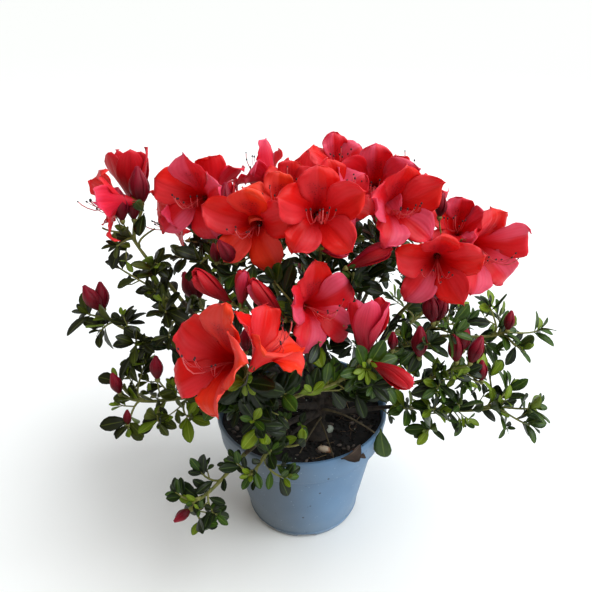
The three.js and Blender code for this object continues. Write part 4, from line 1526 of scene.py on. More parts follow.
# Bark: its mesh, its furrows and flakes, and the collar where a limb leaves its parent.
GREY_BARK, YOUNG_BARK = range(2)
TRUNK_SIDES = 18
BOUGH_SIDES = 10
LOW_STEM_SIDES = 8
BARK_RING_LENGTH = 1.1
FEWEST_BARK_RINGS = 6
FURROWS = 2.2
FURROW_PACE = 0.11
FURROW_SHIFT = 7
FLAKES = 5.0
FLAKE_PACE = 0.32
FLAKE_RELIEF = 0.6
COLLAR = 0.25
COLLAR_LENGTH = 5.0


def bark_ridge(turn, along, radius):
    x, y = math.cos(turn), math.sin(turn)
    down = along * FURROW_PACE + radius * FURROW_SHIFT
    furrow = noise.noise(Vector((x * FURROWS, y * FURROWS, down)))
    return furrow + FLAKE_RELIEF * noise.noise(Vector((x * FLAKES, y * FLAKES, along * FLAKE_PACE)))


def add_bark_limb(heap, limb, sides, back, finish, relief):
    """A woody limb with furrows along it. It starts `back` behind its first ring, inside its parent."""
    rings = max(FEWEST_BARK_RINGS, int(limb.line.length / BARK_RING_LENGTH))
    shares = np.linspace(0, 1, rings)
    points = limb.line.at(shares)
    radii, along = limb.radius(shares), shares * limb.line.length
    turns = np.arange(sides) / sides * FULL_TURN
    ridges = [[bark_ridge(turn, far, radius) for turn in turns] for far, radius in zip(along, radii)]
    collar = 1 + COLLAR * np.exp(-along / COLLAR_LENGTH)
    girth = (radii * collar)[:, None] * (1 + relief * np.array(ridges))
    if back > 0:
        points = np.concatenate(((points[0] - limb.line.along(0) * back,), points))
        girth = np.concatenate((girth[:1], girth))
    tube(heap, points, girth, sides, finish)


def paint(red, green, blue):
    """A colour given in the 0 to 255 steps of a screen, as the shader's linear light."""
    steps = np.array((red, green, blue)) / 255
    linear = np.where(steps <= 0.04045, steps / 12.92, ((steps + 0.055) / 1.055) ** 2.4)
    return (*linear.tolist(), 1.0)


# The middle of a map or of a noise, both of which go from 0 to 1, and the axes of a map and of a
# place in space.
HALF_WAY = 0.5
ACROSS, ALONG = range(2)
RIGHTWARDS, BACKWARDS, UPWARDS = range(3)


class Value:
    """A shader value. Arithmetic on it adds Math nodes."""

    def __init__(self, finish, socket):
        self.finish, self.socket = finish, socket

    def math(self, operation, first, second=0.0):
        return self.finish.node("ShaderNodeMath", {"operation": operation}, {0: first, 1: second})

    def __add__(self, other):
        return self.math("ADD", self, other)

    __radd__ = __add__

    def __sub__(self, other):
        return self.math("SUBTRACT", self, other)

    def __rsub__(self, other):
        return self.math("SUBTRACT", other, self)

    def __mul__(self, other):
        return self.math("MULTIPLY", self, other)

    __rmul__ = __mul__

    def __abs__(self):
        return self.math("ABSOLUTE", self)

    def above(self, edge, softness):
        """0 below the edge and 1 above it, with a soft step."""
        return self.finish.node(
            "ShaderNodeMapRange",
            {"interpolation_type": "SMOOTHSTEP"},
            {"Value": self, "From Min": edge - softness, "From Max": edge + softness},
        )

    def stripes(self):
        """Even stripes as the value grows: 0.5 on each whole number and 0 half way between."""
        return abs(self.math("FRACT", self) - HALF_WAY)


class Finish:
    """A material on one Principled shader, built up from values."""

    def __init__(self, name, **settings):
        self.material = bpy.data.materials.new(name)
        self.material.use_nodes = True
        self.tree = self.material.node_tree
        self.shader = self.tree.nodes["Principled BSDF"]
        for setting, value in settings.items():
            self.shader.inputs[setting.replace("_", " ")].default_value = value

    def node(self, kind, settings, inputs, output=0):
        node = self.tree.nodes.new(kind)
        for setting, value in settings.items():
            if setting == "stops":
                self.set_stops(node.color_ramp, value)
            else:
                setattr(node, setting, value)
        for socket, value in inputs.items():
            self.join(value, node.inputs[socket])
        return Value(self, node.outputs[output])

    def join(self, value, socket):
        if isinstance(value, Value):
            self.tree.links.new(value.socket, socket)
        else:
            socket.default_value = value

    @staticmethod
    def set_stops(ramp, stops):
        while len(ramp.elements) < len(stops):
            ramp.elements.new(0.5)
        for element, (position, colour) in zip(ramp.elements, stops):
            element.position = position
            element.color = colour

    def feed(self, socket, value):
        self.join(value, self.shader.inputs[socket])

    def where(self):
        return self.node("ShaderNodeTexCoord", {}, {}, "Object")

    def part(self, vector, axis):
        return self.node("ShaderNodeSeparateXYZ", {}, {0: vector}, axis)

    def surface(self, axis):
        """A piece's own map: ACROSS it or ALONG it."""
        return self.part(self.node("ShaderNodeTexCoord", {}, {}, "UV"), axis)

    def from_middle(self):
        """0 on a leaf's or a lobe's middle line, and 1 on its edges."""
        return abs(self.surface(ACROSS) - HALF_WAY) * 2

    def noise(self, scale, detail=3.0, roughness=0.5):
        inputs = {"Scale": scale, "Detail": detail, "Roughness": roughness, "Vector": self.where()}
        return self.node("ShaderNodeTexNoise", {}, inputs, "Fac")

    def cells(self, scale):
        """0 in the middle of each of many cells, and more away from it."""
        inputs = {"Scale": scale, "Vector": self.where()}
        return self.node("ShaderNodeTexVoronoi", {}, inputs, "Distance")

    def mix(self, factor, first, second):
        inputs = {0: factor, 6: first, 7: second}
        return self.node("ShaderNodeMix", {"data_type": "RGBA"}, inputs, 2)

    def ramp(self, factor, stops):
        return self.node("ShaderNodeValToRGB", {"stops": stops}, {"Fac": factor}, "Color")

    def bump(self, height, strength, distance):
        inputs = {"Height": height, "Strength": strength, "Distance": distance * MM}
        self.feed("Normal", self.node("ShaderNodeBump", {}, inputs))


# How much a leaf's midrib shows, and how many side veins it has, their slant and their depth.
MIDRIB_SHARE = 0.6
VEINS = 7.0
VEIN_SLANT = 0.22
VEIN_DEPTH = 0.5


def leaf_finish(name, deep, light, midrib, roughness, coat):
    """A leaf's side: soft mottling, a paler midrib, and side veins that dent it."""
    finish = Finish(
        name, Roughness=roughness, Coat_Weight=coat, Coat_Roughness=0.2, Specular_IOR_Level=0.2
    )
    across, along = finish.from_middle(), finish.surface(ALONG)
    mottle = finish.noise(scale=90.0).above(edge=0.5, softness=0.25)
    rib = 1 - across.above(edge=0.07, softness=0.05)
    colour = finish.mix(rib * MIDRIB_SHARE, finish.mix(mottle, deep, light), midrib)
    finish.feed("Base Color", colour)
    veins = ((along - across * VEIN_SLANT) * VEINS).stripes().above(edge=0.10, softness=0.10)
    sides = across.above(edge=0.08, softness=0.08)
    finish.bump(veins * VEIN_DEPTH + sides, strength=0.35, distance=0.25)
    return finish.material


# Where along a petal each colour lies, how far they drift, where the painted pink sheen starts from
# side to side, how much the painted sheen, the painted shade along the crease, the veins, blotch and
# spots each show, how many veins it has and how far they drift, and where the blotch's middle is.
THROAT_AT, LOBE_AT, EDGE_AT = 0.35, 0.66, 0.98
TONE_DRIFT = 0.25
SHEEN_BLUSH_FROM = 0.30
SHEEN_BLUSH_DRIFT = 0.45
SHEEN_BLUSH_SHARE = 0.8
CREASE_SHADE_SHARE = 0.4
PETAL_VEINS = 4.5
PETAL_VEIN_DRIFT = 0.8
PETAL_VEIN_SHARE = 0.12
BLOTCH_AT = 0.46
BLOTCH_SHARE = 0.55
SPOT_SHARE = 0.6

# What raises and dents a petal's skin: its veins, its crease and its grain.
VEIN_RISE = 0.8
CREASE_DENT = -1.2
GRAIN_RISE = 0.3


def petal_finish(name, throat, lobe, edge, blotched=False, sheen=0.08, sheen_blush=None):
    """A petal: dark in the throat and paler to its edge, with fine veins and a crease down it, darkened
    as painted shade, and painted pink sheen on one side where a sheen blush is given.
    """
    finish = Finish(
        name, Roughness=0.48, Specular_IOR_Level=0.2, Sheen_Weight=sheen, Sheen_Roughness=0.35,
        Sheen_Tint=paint(255, 120, 170), Subsurface_Weight=0.3, Subsurface_Scale=0.002,
        Subsurface_Radius=(1.0, 0.25, 0.2),
    )
    across, along = finish.from_middle(), finish.surface(ALONG)
    drift = finish.noise(scale=28.0, detail=2.0)
    reach = along + (drift - HALF_WAY) * TONE_DRIFT
    colour = finish.ramp(reach, ((THROAT_AT, throat), (LOBE_AT, lobe), (EDGE_AT, edge)))
    # Painted pink sheen: one side of the lobe, past its middle, is mixed towards pink.
    if sheen_blush is not None:
        one_side = finish.surface(ACROSS).above(edge=SHEEN_BLUSH_FROM + drift * SHEEN_BLUSH_DRIFT, softness=0.09)
        outer = along.above(edge=0.42, softness=0.22)
        colour = finish.mix(one_side * outer * SHEEN_BLUSH_SHARE, colour, sheen_blush)
    # Painted shade along the crease: the colour darkens to the throat's down the lobe's middle, short of
    # its tip.
    short_of_tip = 1 - along.above(edge=0.9, softness=0.1)
    crease = (1 - across.above(edge=0.05, softness=0.05)) * short_of_tip
    colour = finish.mix(crease * CREASE_SHADE_SHARE, colour, throat)
    veins = (across * PETAL_VEINS + drift * PETAL_VEIN_DRIFT).stripes().above(edge=0.25, softness=0.2)
    colour = finish.mix(veins * PETAL_VEIN_SHARE, colour, throat)
    if blotched:
        near = 1 - abs(along - BLOTCH_AT).above(edge=0.16, softness=0.08)
        region = near * (1 - across.above(edge=0.55, softness=0.25))
        spots = 1 - finish.cells(scale=620.0).above(edge=0.28, softness=0.08)
        colour = finish.mix(region * BLOTCH_SHARE, colour, paint(150, 6, 24))
        colour = finish.mix(spots * region * SPOT_SHARE, colour, paint(84, 4, 16))
    finish.feed("Base Color", colour)
    grain = finish.noise(scale=420.0, detail=2.0)
    relief = veins * VEIN_RISE + crease * CREASE_DENT + grain * GRAIN_RISE
    finish.bump(relief, strength=0.2, distance=0.3)
    return finish.material


# How much the bark's finest grain adds to its coarse one, and how much finer a plain finish's
# grain is than its patches.
FINE_GRAIN = 0.4
GRAIN_TO_PATCH = 4


def bark_finish(name, deep, light, roughness):
    finish = Finish(name, Roughness=roughness)
    grain = finish.noise(scale=260.0, detail=5.0, roughness=0.65)
    finish.feed("Base Color", finish.mix(grain.above(edge=0.5, softness=0.18), deep, light))
    fine = finish.noise(scale=900.0, detail=2.0)
    finish.bump(grain + fine * FINE_GRAIN, strength=0.6, distance=0.4)
    return finish.material


def plain_finish(name, deep, light, scale, roughness, bump=0.3):
    """A small part's finish: two near tones in soft patches, and a fine grain."""
    finish = Finish(name, Roughness=roughness)
    patches = finish.noise(scale).above(edge=0.5, softness=0.2)
    finish.feed("Base Color", finish.mix(patches, deep, light))
    finish.bump(finish.noise(scale * GRAIN_TO_PATCH, detail=2.0), bump, distance=0.2)
    return finish.material


# How much the painted shade on the pot's left side, the dust, specks of peat and pale scuffs each
# show, how far the painted shade's edge drifts, in metres, and the plastic's roughness and waves.
LEFT_SHADE_SHARE = 0.75
LEFT_SHADE_DRIFT = 0.016
DUST_SHARE = 0.5
SPECK_SHARE = 0.85
SCUFF_SHARE = 0.28
PLASTIC_ROUGHNESS = 0.36
ROUGHNESS_DRIFT = 0.16
PLASTIC_WAVES = 2.0


def pot_finish():
    """Moulded blue plastic with painted shade in dark grey on its left side, specks of peat, dust
    and faint scuffs.
    """
    finish = Finish("pot_plastic", Specular_IOR_Level=0.5)
    cloud = finish.noise(scale=14.0, detail=4.0)
    tint = cloud.above(edge=0.5, softness=0.25)
    colour = finish.mix(tint, paint(87, 121, 155), paint(99, 137, 174))
    # Painted shade: the pot's left side is mixed towards dark grey, as where the window light doesn't
    # reach.
    to_right = finish.part(finish.where(), RIGHTWARDS) + cloud * LEFT_SHADE_DRIFT
    left_shade = 1 - to_right.above(edge=0.008, softness=0.030)
    colour = finish.mix(left_shade * LEFT_SHADE_SHARE, colour, paint(70, 73, 72))
    low = 1 - finish.part(finish.where(), UPWARDS).above(edge=0.02, softness=0.03)
    dust = low * finish.noise(scale=60.0, detail=4.0)
    colour = finish.mix(dust * DUST_SHARE, colour, paint(140, 146, 148))
    specks = 1 - finish.cells(scale=120.0).above(edge=0.10, softness=0.03)
    rare = finish.noise(scale=45.0, detail=2.0).above(edge=0.50, softness=0.04)
    colour = finish.mix(specks * rare * SPECK_SHARE, colour, paint(32, 34, 40))
    scuffs = 1 - finish.cells(scale=210.0).above(edge=0.09, softness=0.02)
    colour = finish.mix(scuffs * SCUFF_SHARE, colour, paint(188, 204, 218))
    finish.feed("Base Color", colour)
    finish.feed("Roughness", PLASTIC_ROUGHNESS + finish.noise(scale=90.0) * ROUGHNESS_DRIFT)
    grain = finish.noise(scale=700.0, detail=2.0)
    finish.bump(grain + cloud * PLASTIC_WAVES, strength=0.12, distance=0.25)
    return finish.material


def stone_finish(name, deep, light):
    finish = Finish(name, Roughness=0.55)
    clouds = finish.noise(scale=150.0, detail=4.0)
    finish.feed("Base Color", finish.mix(clouds.above(edge=0.52, softness=0.12), deep, light))
    finish.bump(clouds, strength=0.4, distance=0.3)
    return finish.material


# Each leaf tone's upper side and underside: deep and light tones, midrib, roughness and coat.
LEAF_SIDES = (
    ("leaf_dark", (14, 27, 3), (27, 41, 8), (74, 94, 38), 0.42, 0.14),
    ("leaf_dark_under", (48, 64, 26), (62, 78, 34), (88, 102, 52), 0.55, 0.0),
    ("leaf_green", (36, 63, 8), (58, 84, 16), (106, 128, 44), 0.42, 0.12),
    ("leaf_green_under", (70, 88, 32), (82, 100, 40), (110, 124, 58), 0.55, 0.0),
    ("leaf_young", (92, 114, 14), (118, 140, 26), (152, 168, 60), 0.42, 0.10),
    ("leaf_young_under", (100, 120, 38), (114, 134, 48), (142, 158, 70), 0.5, 0.0),
    ("leaf_dead", (48, 38, 32), (70, 56, 48), (90, 74, 62), 0.8, 0.0),
    ("leaf_dead_under", (64, 54, 48), (86, 74, 66), (104, 90, 80), 0.8, 0.0),
    # The olive tones are painted warm shade, for the leaves on the shrub's shaded left side.
    ("leaf_olive", (21, 25, 0), (35, 39, 1), (84, 92, 28), 0.42, 0.10),
    ("leaf_olive_under", (58, 62, 20), (70, 74, 26), (94, 98, 44), 0.55, 0.0),
    ("leaf_olive_mid", (48, 58, 2), (68, 76, 6), (106, 116, 36), 0.42, 0.10),
    ("leaf_olive_mid_under", (76, 84, 26), (88, 96, 34), (114, 118, 54), 0.55, 0.0),
)


def leaf_finishes():
    return [
        leaf_finish(name, paint(*deep), paint(*light), paint(*midrib), roughness, coat)
        for name, deep, light, midrib, roughness, coat in LEAF_SIDES
    ]


# Each tone of open blossom: its throat, lobe, edge and painted pink sheen. Their backs are paler by a
# step. The rose tone's lobes are themselves painted pink sheen.
PETAL_TONES = (
    ("scarlet", (188, 2, 4), (214, 14, 8), (220, 30, 20), (220, 46, 54)),
    ("rose", (192, 4, 12), (214, 22, 33), (220, 50, 68), (228, 84, 112)),
    ("flame", (208, 17, 2), (228, 45, 11), (232, 61, 28), (228, 64, 56)),
)
PALER_BACK = (8, 16, 30)

# Each tone of bud: its throat, lobe, edge and sheen.
BUD_TONES = (
    ("bud_maroon", (92, 2, 18), (134, 8, 32), (150, 14, 42), 0.05),
    ("bud_red", (126, 2, 12), (180, 10, 22), (204, 26, 40), 0.15),
    # The rose bud tone is painted pink sheen, on some lobes of half-open blossoms.
    ("bud_rose", (150, 14, 36), (200, 34, 60), (220, 74, 104), 0.08),
)


def petal_finishes():
    """Each tone of blossom has a plain lobe and a blotched one. Then come their pale backs."""
    fronts, backs = [], []
    for name, *colours, sheen_blush in PETAL_TONES:
        tones = [paint(*colour) for colour in colours]
        fronts.append(petal_finish(f"petal_{name}", *tones, sheen_blush=paint(*sheen_blush)))
        fronts.append(petal_finish(f"petal_{name}_blotched", *tones, True, sheen_blush=paint(*sheen_blush)))
        paler = [paint(*np.add(colour, PALER_BACK)) for colour in colours]
        backs += [petal_finish(f"petal_{name}_back", *paler)] * 2
    return fronts + backs


def bud_finishes():
    return [
        petal_finish(name, paint(*throat), paint(*lobe), paint(*edge), sheen=sheen)
        for name, throat, lobe, edge, sheen in BUD_TONES
    ]


def soil_finishes():
    return [
        plain_finish("peat", paint(12, 10, 9), paint(25, 20, 17), 160.0, 0.95, bump=0.8),
        plain_finish("peat_crumb", paint(16, 13, 11), paint(36, 29, 23), 200.0, 0.95, bump=0.6),
        plain_finish("bark_chip", paint(66, 56, 50), paint(104, 92, 84), 200.0, 0.9, bump=0.5),
        stone_finish("pale_grain", paint(150, 160, 142), paint(206, 212, 196)),
        plain_finish("root_brown", paint(62, 46, 34), paint(96, 74, 54), 300.0, 0.85),
        plain_finish("root_tan", paint(112, 90, 62), paint(150, 126, 90), 300.0, 0.8),
        stone_finish("tan_stone", paint(160, 104, 66), paint(226, 204, 178)),
    ]


def bark_finishes():
    return [
        bark_finish("bark_grey", paint(30, 25, 22), paint(62, 52, 44), 0.85),
        bark_finish("bark_young", paint(54, 44, 30), paint(88, 76, 48), 0.7),
    ]


def stamen_finishes():
    return [
        plain_finish("filament", paint(196, 40, 48), paint(216, 74, 76), 200.0, 0.5),
        plain_finish("anther", paint(34, 10, 14), paint(56, 20, 26), 400.0, 0.7),
        plain_finish("style", paint(206, 66, 72), paint(226, 104, 102), 200.0, 0.5),
        plain_finish("throat", paint(140, 4, 10), paint(156, 10, 16), 200.0, 0.6),
    ]


def add_piece(piece, nodes=()):
    """Gives a finished piece to the object: it rides with the body and stands for its CAD nodes."""
    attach(piece, "root")
    if nodes:
        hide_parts(*nodes)


def make_soil():
    draw = seeded(PEAT_SEED)
    heap = Heap()
    add_peat(heap)
    add_crumbs(heap, draw)
    for stone in STONES:
        add_stone(heap, *stone)
    add_roots(heap, draw)
    add_piece(heap.piece("peat_surface", soil_finishes()), ["soil"])


# Woody stems low over the soil, as they show in the photograph: ends, arch, girth and finish.
LOW_STEMS = (
    ((12, -25, 108), (-19, -51, 97), 3, 1.5, GREY_BARK),
    ((14, -26, 106), (-2, -52, 96), 2, 0.8, YOUNG_BARK),
    ((15, -24, 112), (52, -38, 101), 4, 0.9, YOUNG_BARK),
    ((13, -26, 104), (22, -56, 93), 3, 0.7, YOUNG_BARK),
    ((11, -23, 100), (-32, -30, 100), 4, 0.9, GREY_BARK),
    ((16, -18, 102), (36, 14, 100), 4, 0.8, GREY_BARK),
    ((9, -20, 100), (-22, 10, 98), 4, 0.8, GREY_BARK),
)
LOW_STEM_STEPS = 3
LOW_STEM_TAPER = 0.6
RISE_AT_START = 0.1
FALL_AT_END = 0.08

# How far a limb's root goes back into its parent, and the depth of its furrows.
TRUNK_BACK = 0.3
BACK_IN_TRUNK = 4.5
BACK_IN_BOUGH = 1.6
TRUNK_RELIEF = 0.16
BOUGH_RELIEF = 0.10
LOW_STEM_RELIEF = 0.12


def make_wood(limbs):
    """The trunk and boughs in relief, and the thin woody stems round the trunk's foot."""
    heap = Heap()
    add_bark_limb(heap, limbs["trunk"], TRUNK_SIDES, TRUNK_BACK, GREY_BARK, TRUNK_RELIEF)
    for spray in SPRAYS:
        from_trunk = spray.parent == "trunk"
        back = BACK_IN_TRUNK if from_trunk else BACK_IN_BOUGH
        finish = GREY_BARK if from_trunk else YOUNG_BARK
        add_bark_limb(heap, limbs[spray.name], BOUGH_SIDES, back, finish, BOUGH_RELIEF)
    for start, end, arch, girth, finish in LOW_STEMS:
        start, end = place(start), place(end)
        onward = unit(end - start)
        rising = unit(onward + UP * arch * RISE_AT_START)
        falling = unit(onward - UP * arch * FALL_AT_END)
        stem = Limb(Curve(start, rising, end, falling), LOW_STEM_STEPS, girth, girth * LOW_STEM_TAPER)
        add_bark_limb(heap, stem, LOW_STEM_SIDES, 0, finish, LOW_STEM_RELIEF)
    nodes = ["trunk"] + [f"bough_{spray.name}" for spray in SPRAYS]
    add_piece(heap.piece("bark", bark_finishes()), nodes)


# The seat of a blossom: its swelling along the stalk, and the scales round it.
SEAT_STATIONS = (-3.2, -1.6, -0.5, 0.2)
SEAT_GIRTH = 1.5
BUD_SEAT_GIRTH = 1.8
STALK_GIRTH = 0.8
SEAT_SWELL = 1.1
SEAT_MOUTH = 0.7
SEAT_SIDES = 7
SEPAL_STRAY = 0.3
SEPAL_SPREAD = 0.45
SEPAL_SIZES = (4.0, 6.5)
YOUNG_SEPALS = 0.5


def sepals(twigs, leaves_heap, form, blossom, draw):
    """The green seat of a blossom: a swollen stalk end and five small scales round its base."""
    base, axis = place(blossom.base), facing(blossom)
    girth = SEAT_GIRTH if blossom.kind == "open" else BUD_SEAT_GIRTH
    line = base + np.outer(SEAT_STATIONS, axis)
    tube(twigs, line, (STALK_GIRTH, girth, girth * SEAT_SWELL, girth * SEAT_MOUTH), SEAT_SIDES)
    frame = frame_along(axis)
    for k in range(LOBES):
        turn = (k + SEPAL_STRAY * draw()) * FULL_TURN / LOBES
        side = np.array((0, math.cos(turn), math.sin(turn))) @ frame
        direction = unit(axis + side * SEPAL_SPREAD)
        level = unit(np.cross(side, direction))
        turned = np.array((direction, level, np.cross(direction, level)))
        size = between(draw, SEPAL_SIZES)
        tone = YOUNG if draw() < YOUNG_SEPALS else MID
        root = base + side * girth * SEAT_MOUTH
        add_blades(leaves_heap, form, root[None], turned[None], np.array((size,)), np.array((tone,)))


# Leaves and open blossoms are joined zone by zone: behind a depth, left and right of two lines, and
# between them.
ZONES = ("left", "middle", "right", "back")
BACK_FROM = 40
LEFT_TO = -40
RIGHT_FROM = 45


def zone_of(spray):
    """Which joined piece a spray's leaves and blossoms go into."""
    x, y, _ = spray.head
    if y > BACK_FROM:
        return "back"
    return "left" if x < LEFT_TO else ("middle" if x < RIGHT_FROM else "right")


# Petal tones, the sprays whose blossoms are all of the warm one, and how many of the others have
# mostly scarlet lobes. Buds have tones of their own. Rose lobes, of open and half-open blossoms,
# are painted pink sheen.
SCARLET, ROSE_SHEEN, FLAME = range(3)
WARM_SPRAYS = ("front_left", "centre_left")
SCARLET_SHARE = 0.6
BUD_MAROON, BUD_RED, BUD_ROSE_SHEEN = range(3)
CLOSED_TONES = {"bud": (BUD_MAROON,), "half": (BUD_RED, BUD_RED, BUD_ROSE_SHEEN)}


def petal_tones(spray, draw):
    """The tones that the lobes of one open blossom are dealt from."""
    if spray.name in WARM_SPRAYS:
        return (FLAME, FLAME, SCARLET)
    return (SCARLET, SCARLET, ROSE_SHEEN) if draw() < SCARLET_SHARE else (SCARLET, ROSE_SHEEN, ROSE_SHEEN)


# The blades' shapes. Sprays are dealt the first four, and dead leaves are curled.
PLAIN, DROOPING, UPTURNED, BROAD, CURLED = range(5)
BLADE_SHAPES = (
    {"fold": 0.30, "droop": 0.10, "wave": 0.05},
    {"fold": 0.18, "droop": 0.28, "wave": -0.08},
    {"fold": 0.42, "droop": -0.06, "wave": 0.10, "girth": 0.92},
    {"fold": 0.24, "droop": 0.18, "wave": 0.12, "girth": 1.08},
    {"fold": 1.1, "droop": 0.55, "wave": 0.30, "girth": 1.1},
)

# Single leaves by the pot and by the bare stem: where each starts and points, its length, roll,
# form and tone.
STRAY_LEAVES = (
    ((56, -38, 105), (0.12, -0.10, -1.0), 28, 1.0, PLAIN, MID),
    ((26, -63, 101), (0.86, 0.22, 0.10), 19, 0.4, CURLED, DEAD),
    ((30, -50, 93), (0.80, -0.10, 0.10), 15, -0.5, CURLED, DEAD),
    ((-20, -44, 94), (-0.7, 0.5, 0.15), 14, 0.3, CURLED, DEAD),
    ((-2, -63, 157), (0.86, -0.16, 0.46), 19, 0.6, BROAD, YOUNG),
    ((15, -62, 164), (0.2, -0.1, 1.0), 16, 0.2, BROAD, MID),
)

# Whorls under blossoms and on bare boughs: their middle, their axis, how many leaves, the leaves'
# lengths, how far they lean along the axis, and their tone.
WHORLS = (
    ((-33, -81, 181), (0.0, -0.7, -0.45), 9, (21, 27), 0.35, DARK),
    ((-33, -82, 182), (0.0, -0.8, -0.1), 6, (7, 11), 0.6, YOUNG),
    ((40, -66, 178), (0.2, -0.9, 0.1), 7, (16, 22), 0.2, MID),
    ((40, -67, 179), (0.1, -0.8, 0.2), 7, (7, 10), 0.8, YOUNG),
    ((20, -7, 151), (0.75, -0.5, 0.2), 7, (17, 23), 0.35, DARK),
    ((38, -7, 157), (-0.2, -0.9, -0.3), 7, (15, 20), 0.3, DARK),
    ((58, -25, 157), (0.6, -0.7, -0.3), 7, (15, 20), 0.4, MID),
    ((72, -3, 138), (0.3, -0.7, 0.5), 6, (15, 20), 0.4, MID),
    ((86, 2, 145), (0.2, -0.8, 0.4), 6, (14, 19), 0.4, MID),
    ((-89, -21, 166), (0.3, -0.7, 0.5), 7, (14, 20), 0.4, DARK),
    ((-100, 5, 256), (0.8, -0.5, 0.0), 6, (15, 21), 0.4, DARK),
)


WHORL_STRAY = 0.5
WHORL_ROLL = 0.5


def add_whorls(leaves):
    draw = seeded(WHORL_SEED)
    for middle, axis, count, sizes, lean, tone in WHORLS:
        frame = frame_along(unit(place(axis)))
        for k in range(count):
            turn = (k + WHORL_STRAY * draw()) * FULL_TURN / count
            side = np.array((lean, math.cos(turn), math.sin(turn)))
            direction, size = unit(side @ frame), between(draw, sizes)
            root = place(middle) + direction
            if not in_blossom(root + direction * size, 0):
                roll = WHORL_ROLL * (draw() - 0.5)
                leaves.add(root, direction, size, roll, int(LEAF_FORMS * draw()), tone)


# The twigs' mesh, and how much they swell.
TWIG_RING = 2.5
STEM_SIDES = 7
SHOOT_SIDES = 6
TWIG_SWELL = 0.12


def grow_spray(leaves, twigs, number, spray, bough):
    """A spray's stem and shoots with their leaves, and finer growth on them and on its bough."""
    draw = seeded(LEAF_SEED + SEED_STEP * number)
    stem, shoots = grow_shoots(number, spray)
    limb_tube(twigs, stem, TWIG_RING, STEM_SIDES, TWIG_SWELL, number)
    for shoot in shoots:
        limb_tube(twigs, shoot, TWIG_RING, SHOOT_SIDES, TWIG_SWELL, number)
    for limb in [stem] + [shoot for shoot in shoots if shoot.leafy]:
        is_young = draw() < young_share(number)
        clothe(leaves, number, limb.line, draw, SHOOT_LEAF_SIZE, ROSETTE_LEAVES, ROSETTE_SIZE, is_young)
        grow_finer(leaves, twigs, number, limb, draw)
    grow_finer(leaves, twigs, number, bough, draw, bough.line.length * BOUGH_FREE_SHARE)


def make_plant(limbs):
    """The sprays' twigs, leaves, blossoms and buds, the single leaves and the whorls, as heaps."""
    twigs, stamens, buds = Heap(), Heap(), Heap()
    leaf_heaps, corollas = {zone: Heap() for zone in ZONES}, {zone: Heap() for zone in ZONES}
    leaf_rows = {zone: LeafRows() for zone in ZONES}
    forms = [blade(**shape) for shape in BLADE_SHAPES]
    for number, spray in enumerate(SPRAYS):
        zone = zone_of(spray)
        grow_spray(leaf_rows[zone], twigs, number, spray, limbs[spray.name])
        draw = seeded(BLOSSOM_SEED + SEED_STEP * number)
        for blossom in spray.blossoms:
            sepals(twigs, leaf_heaps[zone], forms[PLAIN], blossom, draw)
            if blossom.kind == "open":
                add_corolla(corollas[zone], blossom, draw, petal_tones(spray, draw))
                add_stamens(stamens, blossom, draw)
            else:
                add_corolla(buds, blossom, draw, CLOSED_TONES[blossom.kind])
    for root, direction, size, roll, form, tone in STRAY_LEAVES:
        leaf_rows["middle"].add(place(root), unit(place(direction)), size, roll, form, tone)
    add_whorls(leaf_rows["middle"])
    for zone, leaves in leaf_rows.items():
        leaves.fill(leaf_heaps[zone], forms)
    return twigs, leaf_heaps, stamens, corollas, buds


PETAL_THICKNESS = 0.35
MERGE_DISTANCE = 0.01


def thicken(piece, back):
    """Merges the lobes of each tube, and gives the petals their thickness. Their backs have the
    finish that comes `back` places after the front's."""
    select_only(piece)
    bpy.ops.object.mode_set(mode="EDIT")
    bpy.ops.mesh.select_all(action="SELECT")
    bpy.ops.mesh.remove_doubles(threshold=MERGE_DISTANCE * MM)
    bpy.ops.object.mode_set(mode="OBJECT")
    apply_modifier(
        piece, "SOLIDIFY", thickness=PETAL_THICKNESS * MM, offset=-1.0, use_even_offset=False,
        material_offset=back, material_offset_rim=0,
    )
    return piece


def dress_plant(limbs):
    """The plant's pieces: twigs, leaves by zone, stamens, open blossoms by zone, and buds."""
    twigs, leaves, stamens, corollas, buds = make_plant(limbs)
    twig = bark_finish("twig_green", paint(98, 102, 42), paint(136, 134, 64), 0.6)
    nodes = [f"foliage_{spray.name}" for spray in SPRAYS]
    add_piece(twigs.piece("twigs", [twig]), nodes)
    finishes = leaf_finishes()
    for zone, heap in leaves.items():
        add_piece(heap.piece(f"leaves_{zone}", finishes))
    add_piece(stamens.piece("stamens", stamen_finishes()))
    finishes = petal_finishes()
    for zone, heap in corollas.items():
        petals = heap.piece(f"petals_{zone}", finishes)
        add_piece(thicken(petals, len(finishes) // 2))
    add_piece(thicken(buds.piece("buds", bud_finishes()), 0))


# Studio: the floor, the even surround, the window and the sky light. Places are in metres.
FLOOR_SIZE = 60.0
FLOOR_DROP = 0.0005
SURROUND_COLOUR = (1.0, 0.975, 0.92, 1.0)
SURROUND_STRENGTH = 0.35
WINDOW_PLACE = (1.10, -0.30, 1.36)
WINDOW_ANGLE = 58
WINDOW_POWER = 3.35
WINDOW_COLOUR = (0.88, 0.95, 1.0)
SKY_PLACE = (0.2, 0.6, 1.0)
SKY_TARGET = (0.0, 0.0, 0.16)
SKY_SIZE = 0.9
SKY_POWER = 6.0
SKY_COLOUR = (0.80, 0.90, 1.0)


def aim(lamp, location, target):
    lamp.location = location
    lamp.rotation_euler = (Vector(target) - Vector(location)).to_track_quat("-Z", "Y").to_euler()
    bpy.context.collection.objects.link(lamp)


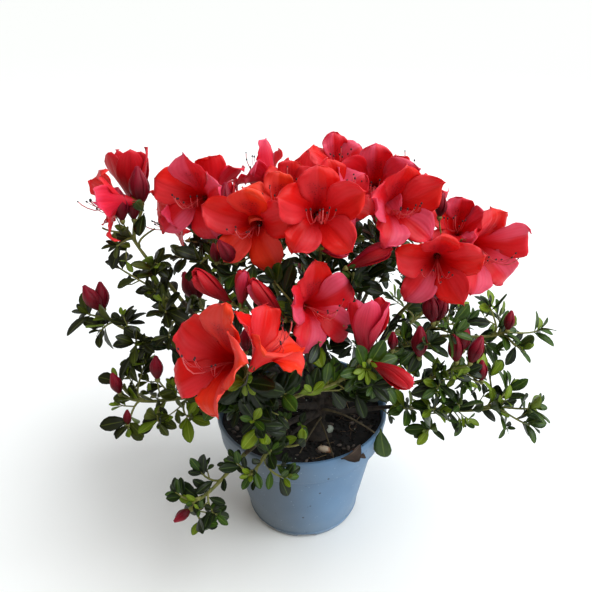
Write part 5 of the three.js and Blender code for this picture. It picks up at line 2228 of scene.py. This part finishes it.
def make_window():
    light = bpy.data.lights.new("window", "SUN")
    light.angle, light.energy, light.color = math.radians(WINDOW_ANGLE), WINDOW_POWER, WINDOW_COLOUR
    aim(bpy.data.objects.new("window", light), WINDOW_PLACE, (0, 0, 0))


def make_sky():
    light = bpy.data.lights.new("sky", "AREA")
    light.size, light.energy, light.color = SKY_SIZE, SKY_POWER, SKY_COLOUR
    aim(bpy.data.objects.new("sky", light), SKY_PLACE, SKY_TARGET)


def make_studio():
    """A pale floor, an even pale surround, and soft window light."""
    bpy.ops.object.select_all(action="DESELECT")
    bpy.ops.mesh.primitive_plane_add(size=FLOOR_SIZE, location=(0, 0, -FLOOR_DROP))
    floor = bpy.context.object
    floor.name = "floor"
    pale = Finish("floor_pale", Roughness=0.9, Base_Color=paint(249, 246, 242))
    floor.data.materials.append(pale.material)
    world = bpy.data.worlds.new("surround")
    world.use_nodes = True
    background = world.node_tree.nodes["Background"]
    background.inputs["Color"].default_value = SURROUND_COLOUR
    background.inputs["Strength"].default_value = SURROUND_STRENGTH
    bpy.context.scene.world = world
    make_window()
    make_sky()


def make_camera():
    yaw, pitch = CAMERA_YAW, CAMERA_PITCH
    level = math.cos(pitch)
    ahead = Vector((math.sin(yaw) * level, math.cos(yaw) * level, -math.sin(pitch)))
    right = Vector((math.cos(yaw), -math.sin(yaw), 0))
    above = right.cross(ahead)
    roll = Matrix.Rotation(CAMERA_ROLL, 3, ahead)
    right, above = roll @ right, roll @ above
    turned = Matrix((right, above, -ahead)).transposed().to_4x4()
    data = bpy.data.cameras.new("camera")
    data.lens = CAMERA_LENS
    data.sensor_width = CAMERA_SENSOR
    data.clip_start = CAMERA_NEAR * MM
    camera = bpy.data.objects.new("camera", data)
    bpy.context.collection.objects.link(camera)
    camera.matrix_world = Matrix.Translation(Vector(CAMERA_PLACE) * MM) @ turned
    bpy.context.scene.camera = camera


def dress_pot():
    pot = make_pot()
    pot.data.materials.clear()
    pot.data.materials.append(pot_finish())
    add_piece(pot, ["pot"])


make_camera()
make_studio()
dress_pot()
make_soil()
LIMBS = grow_limbs()
make_wood(LIMBS)
dress_plant(LIMBS)
bpy.context.scene.view_settings.view_transform = "Standard"
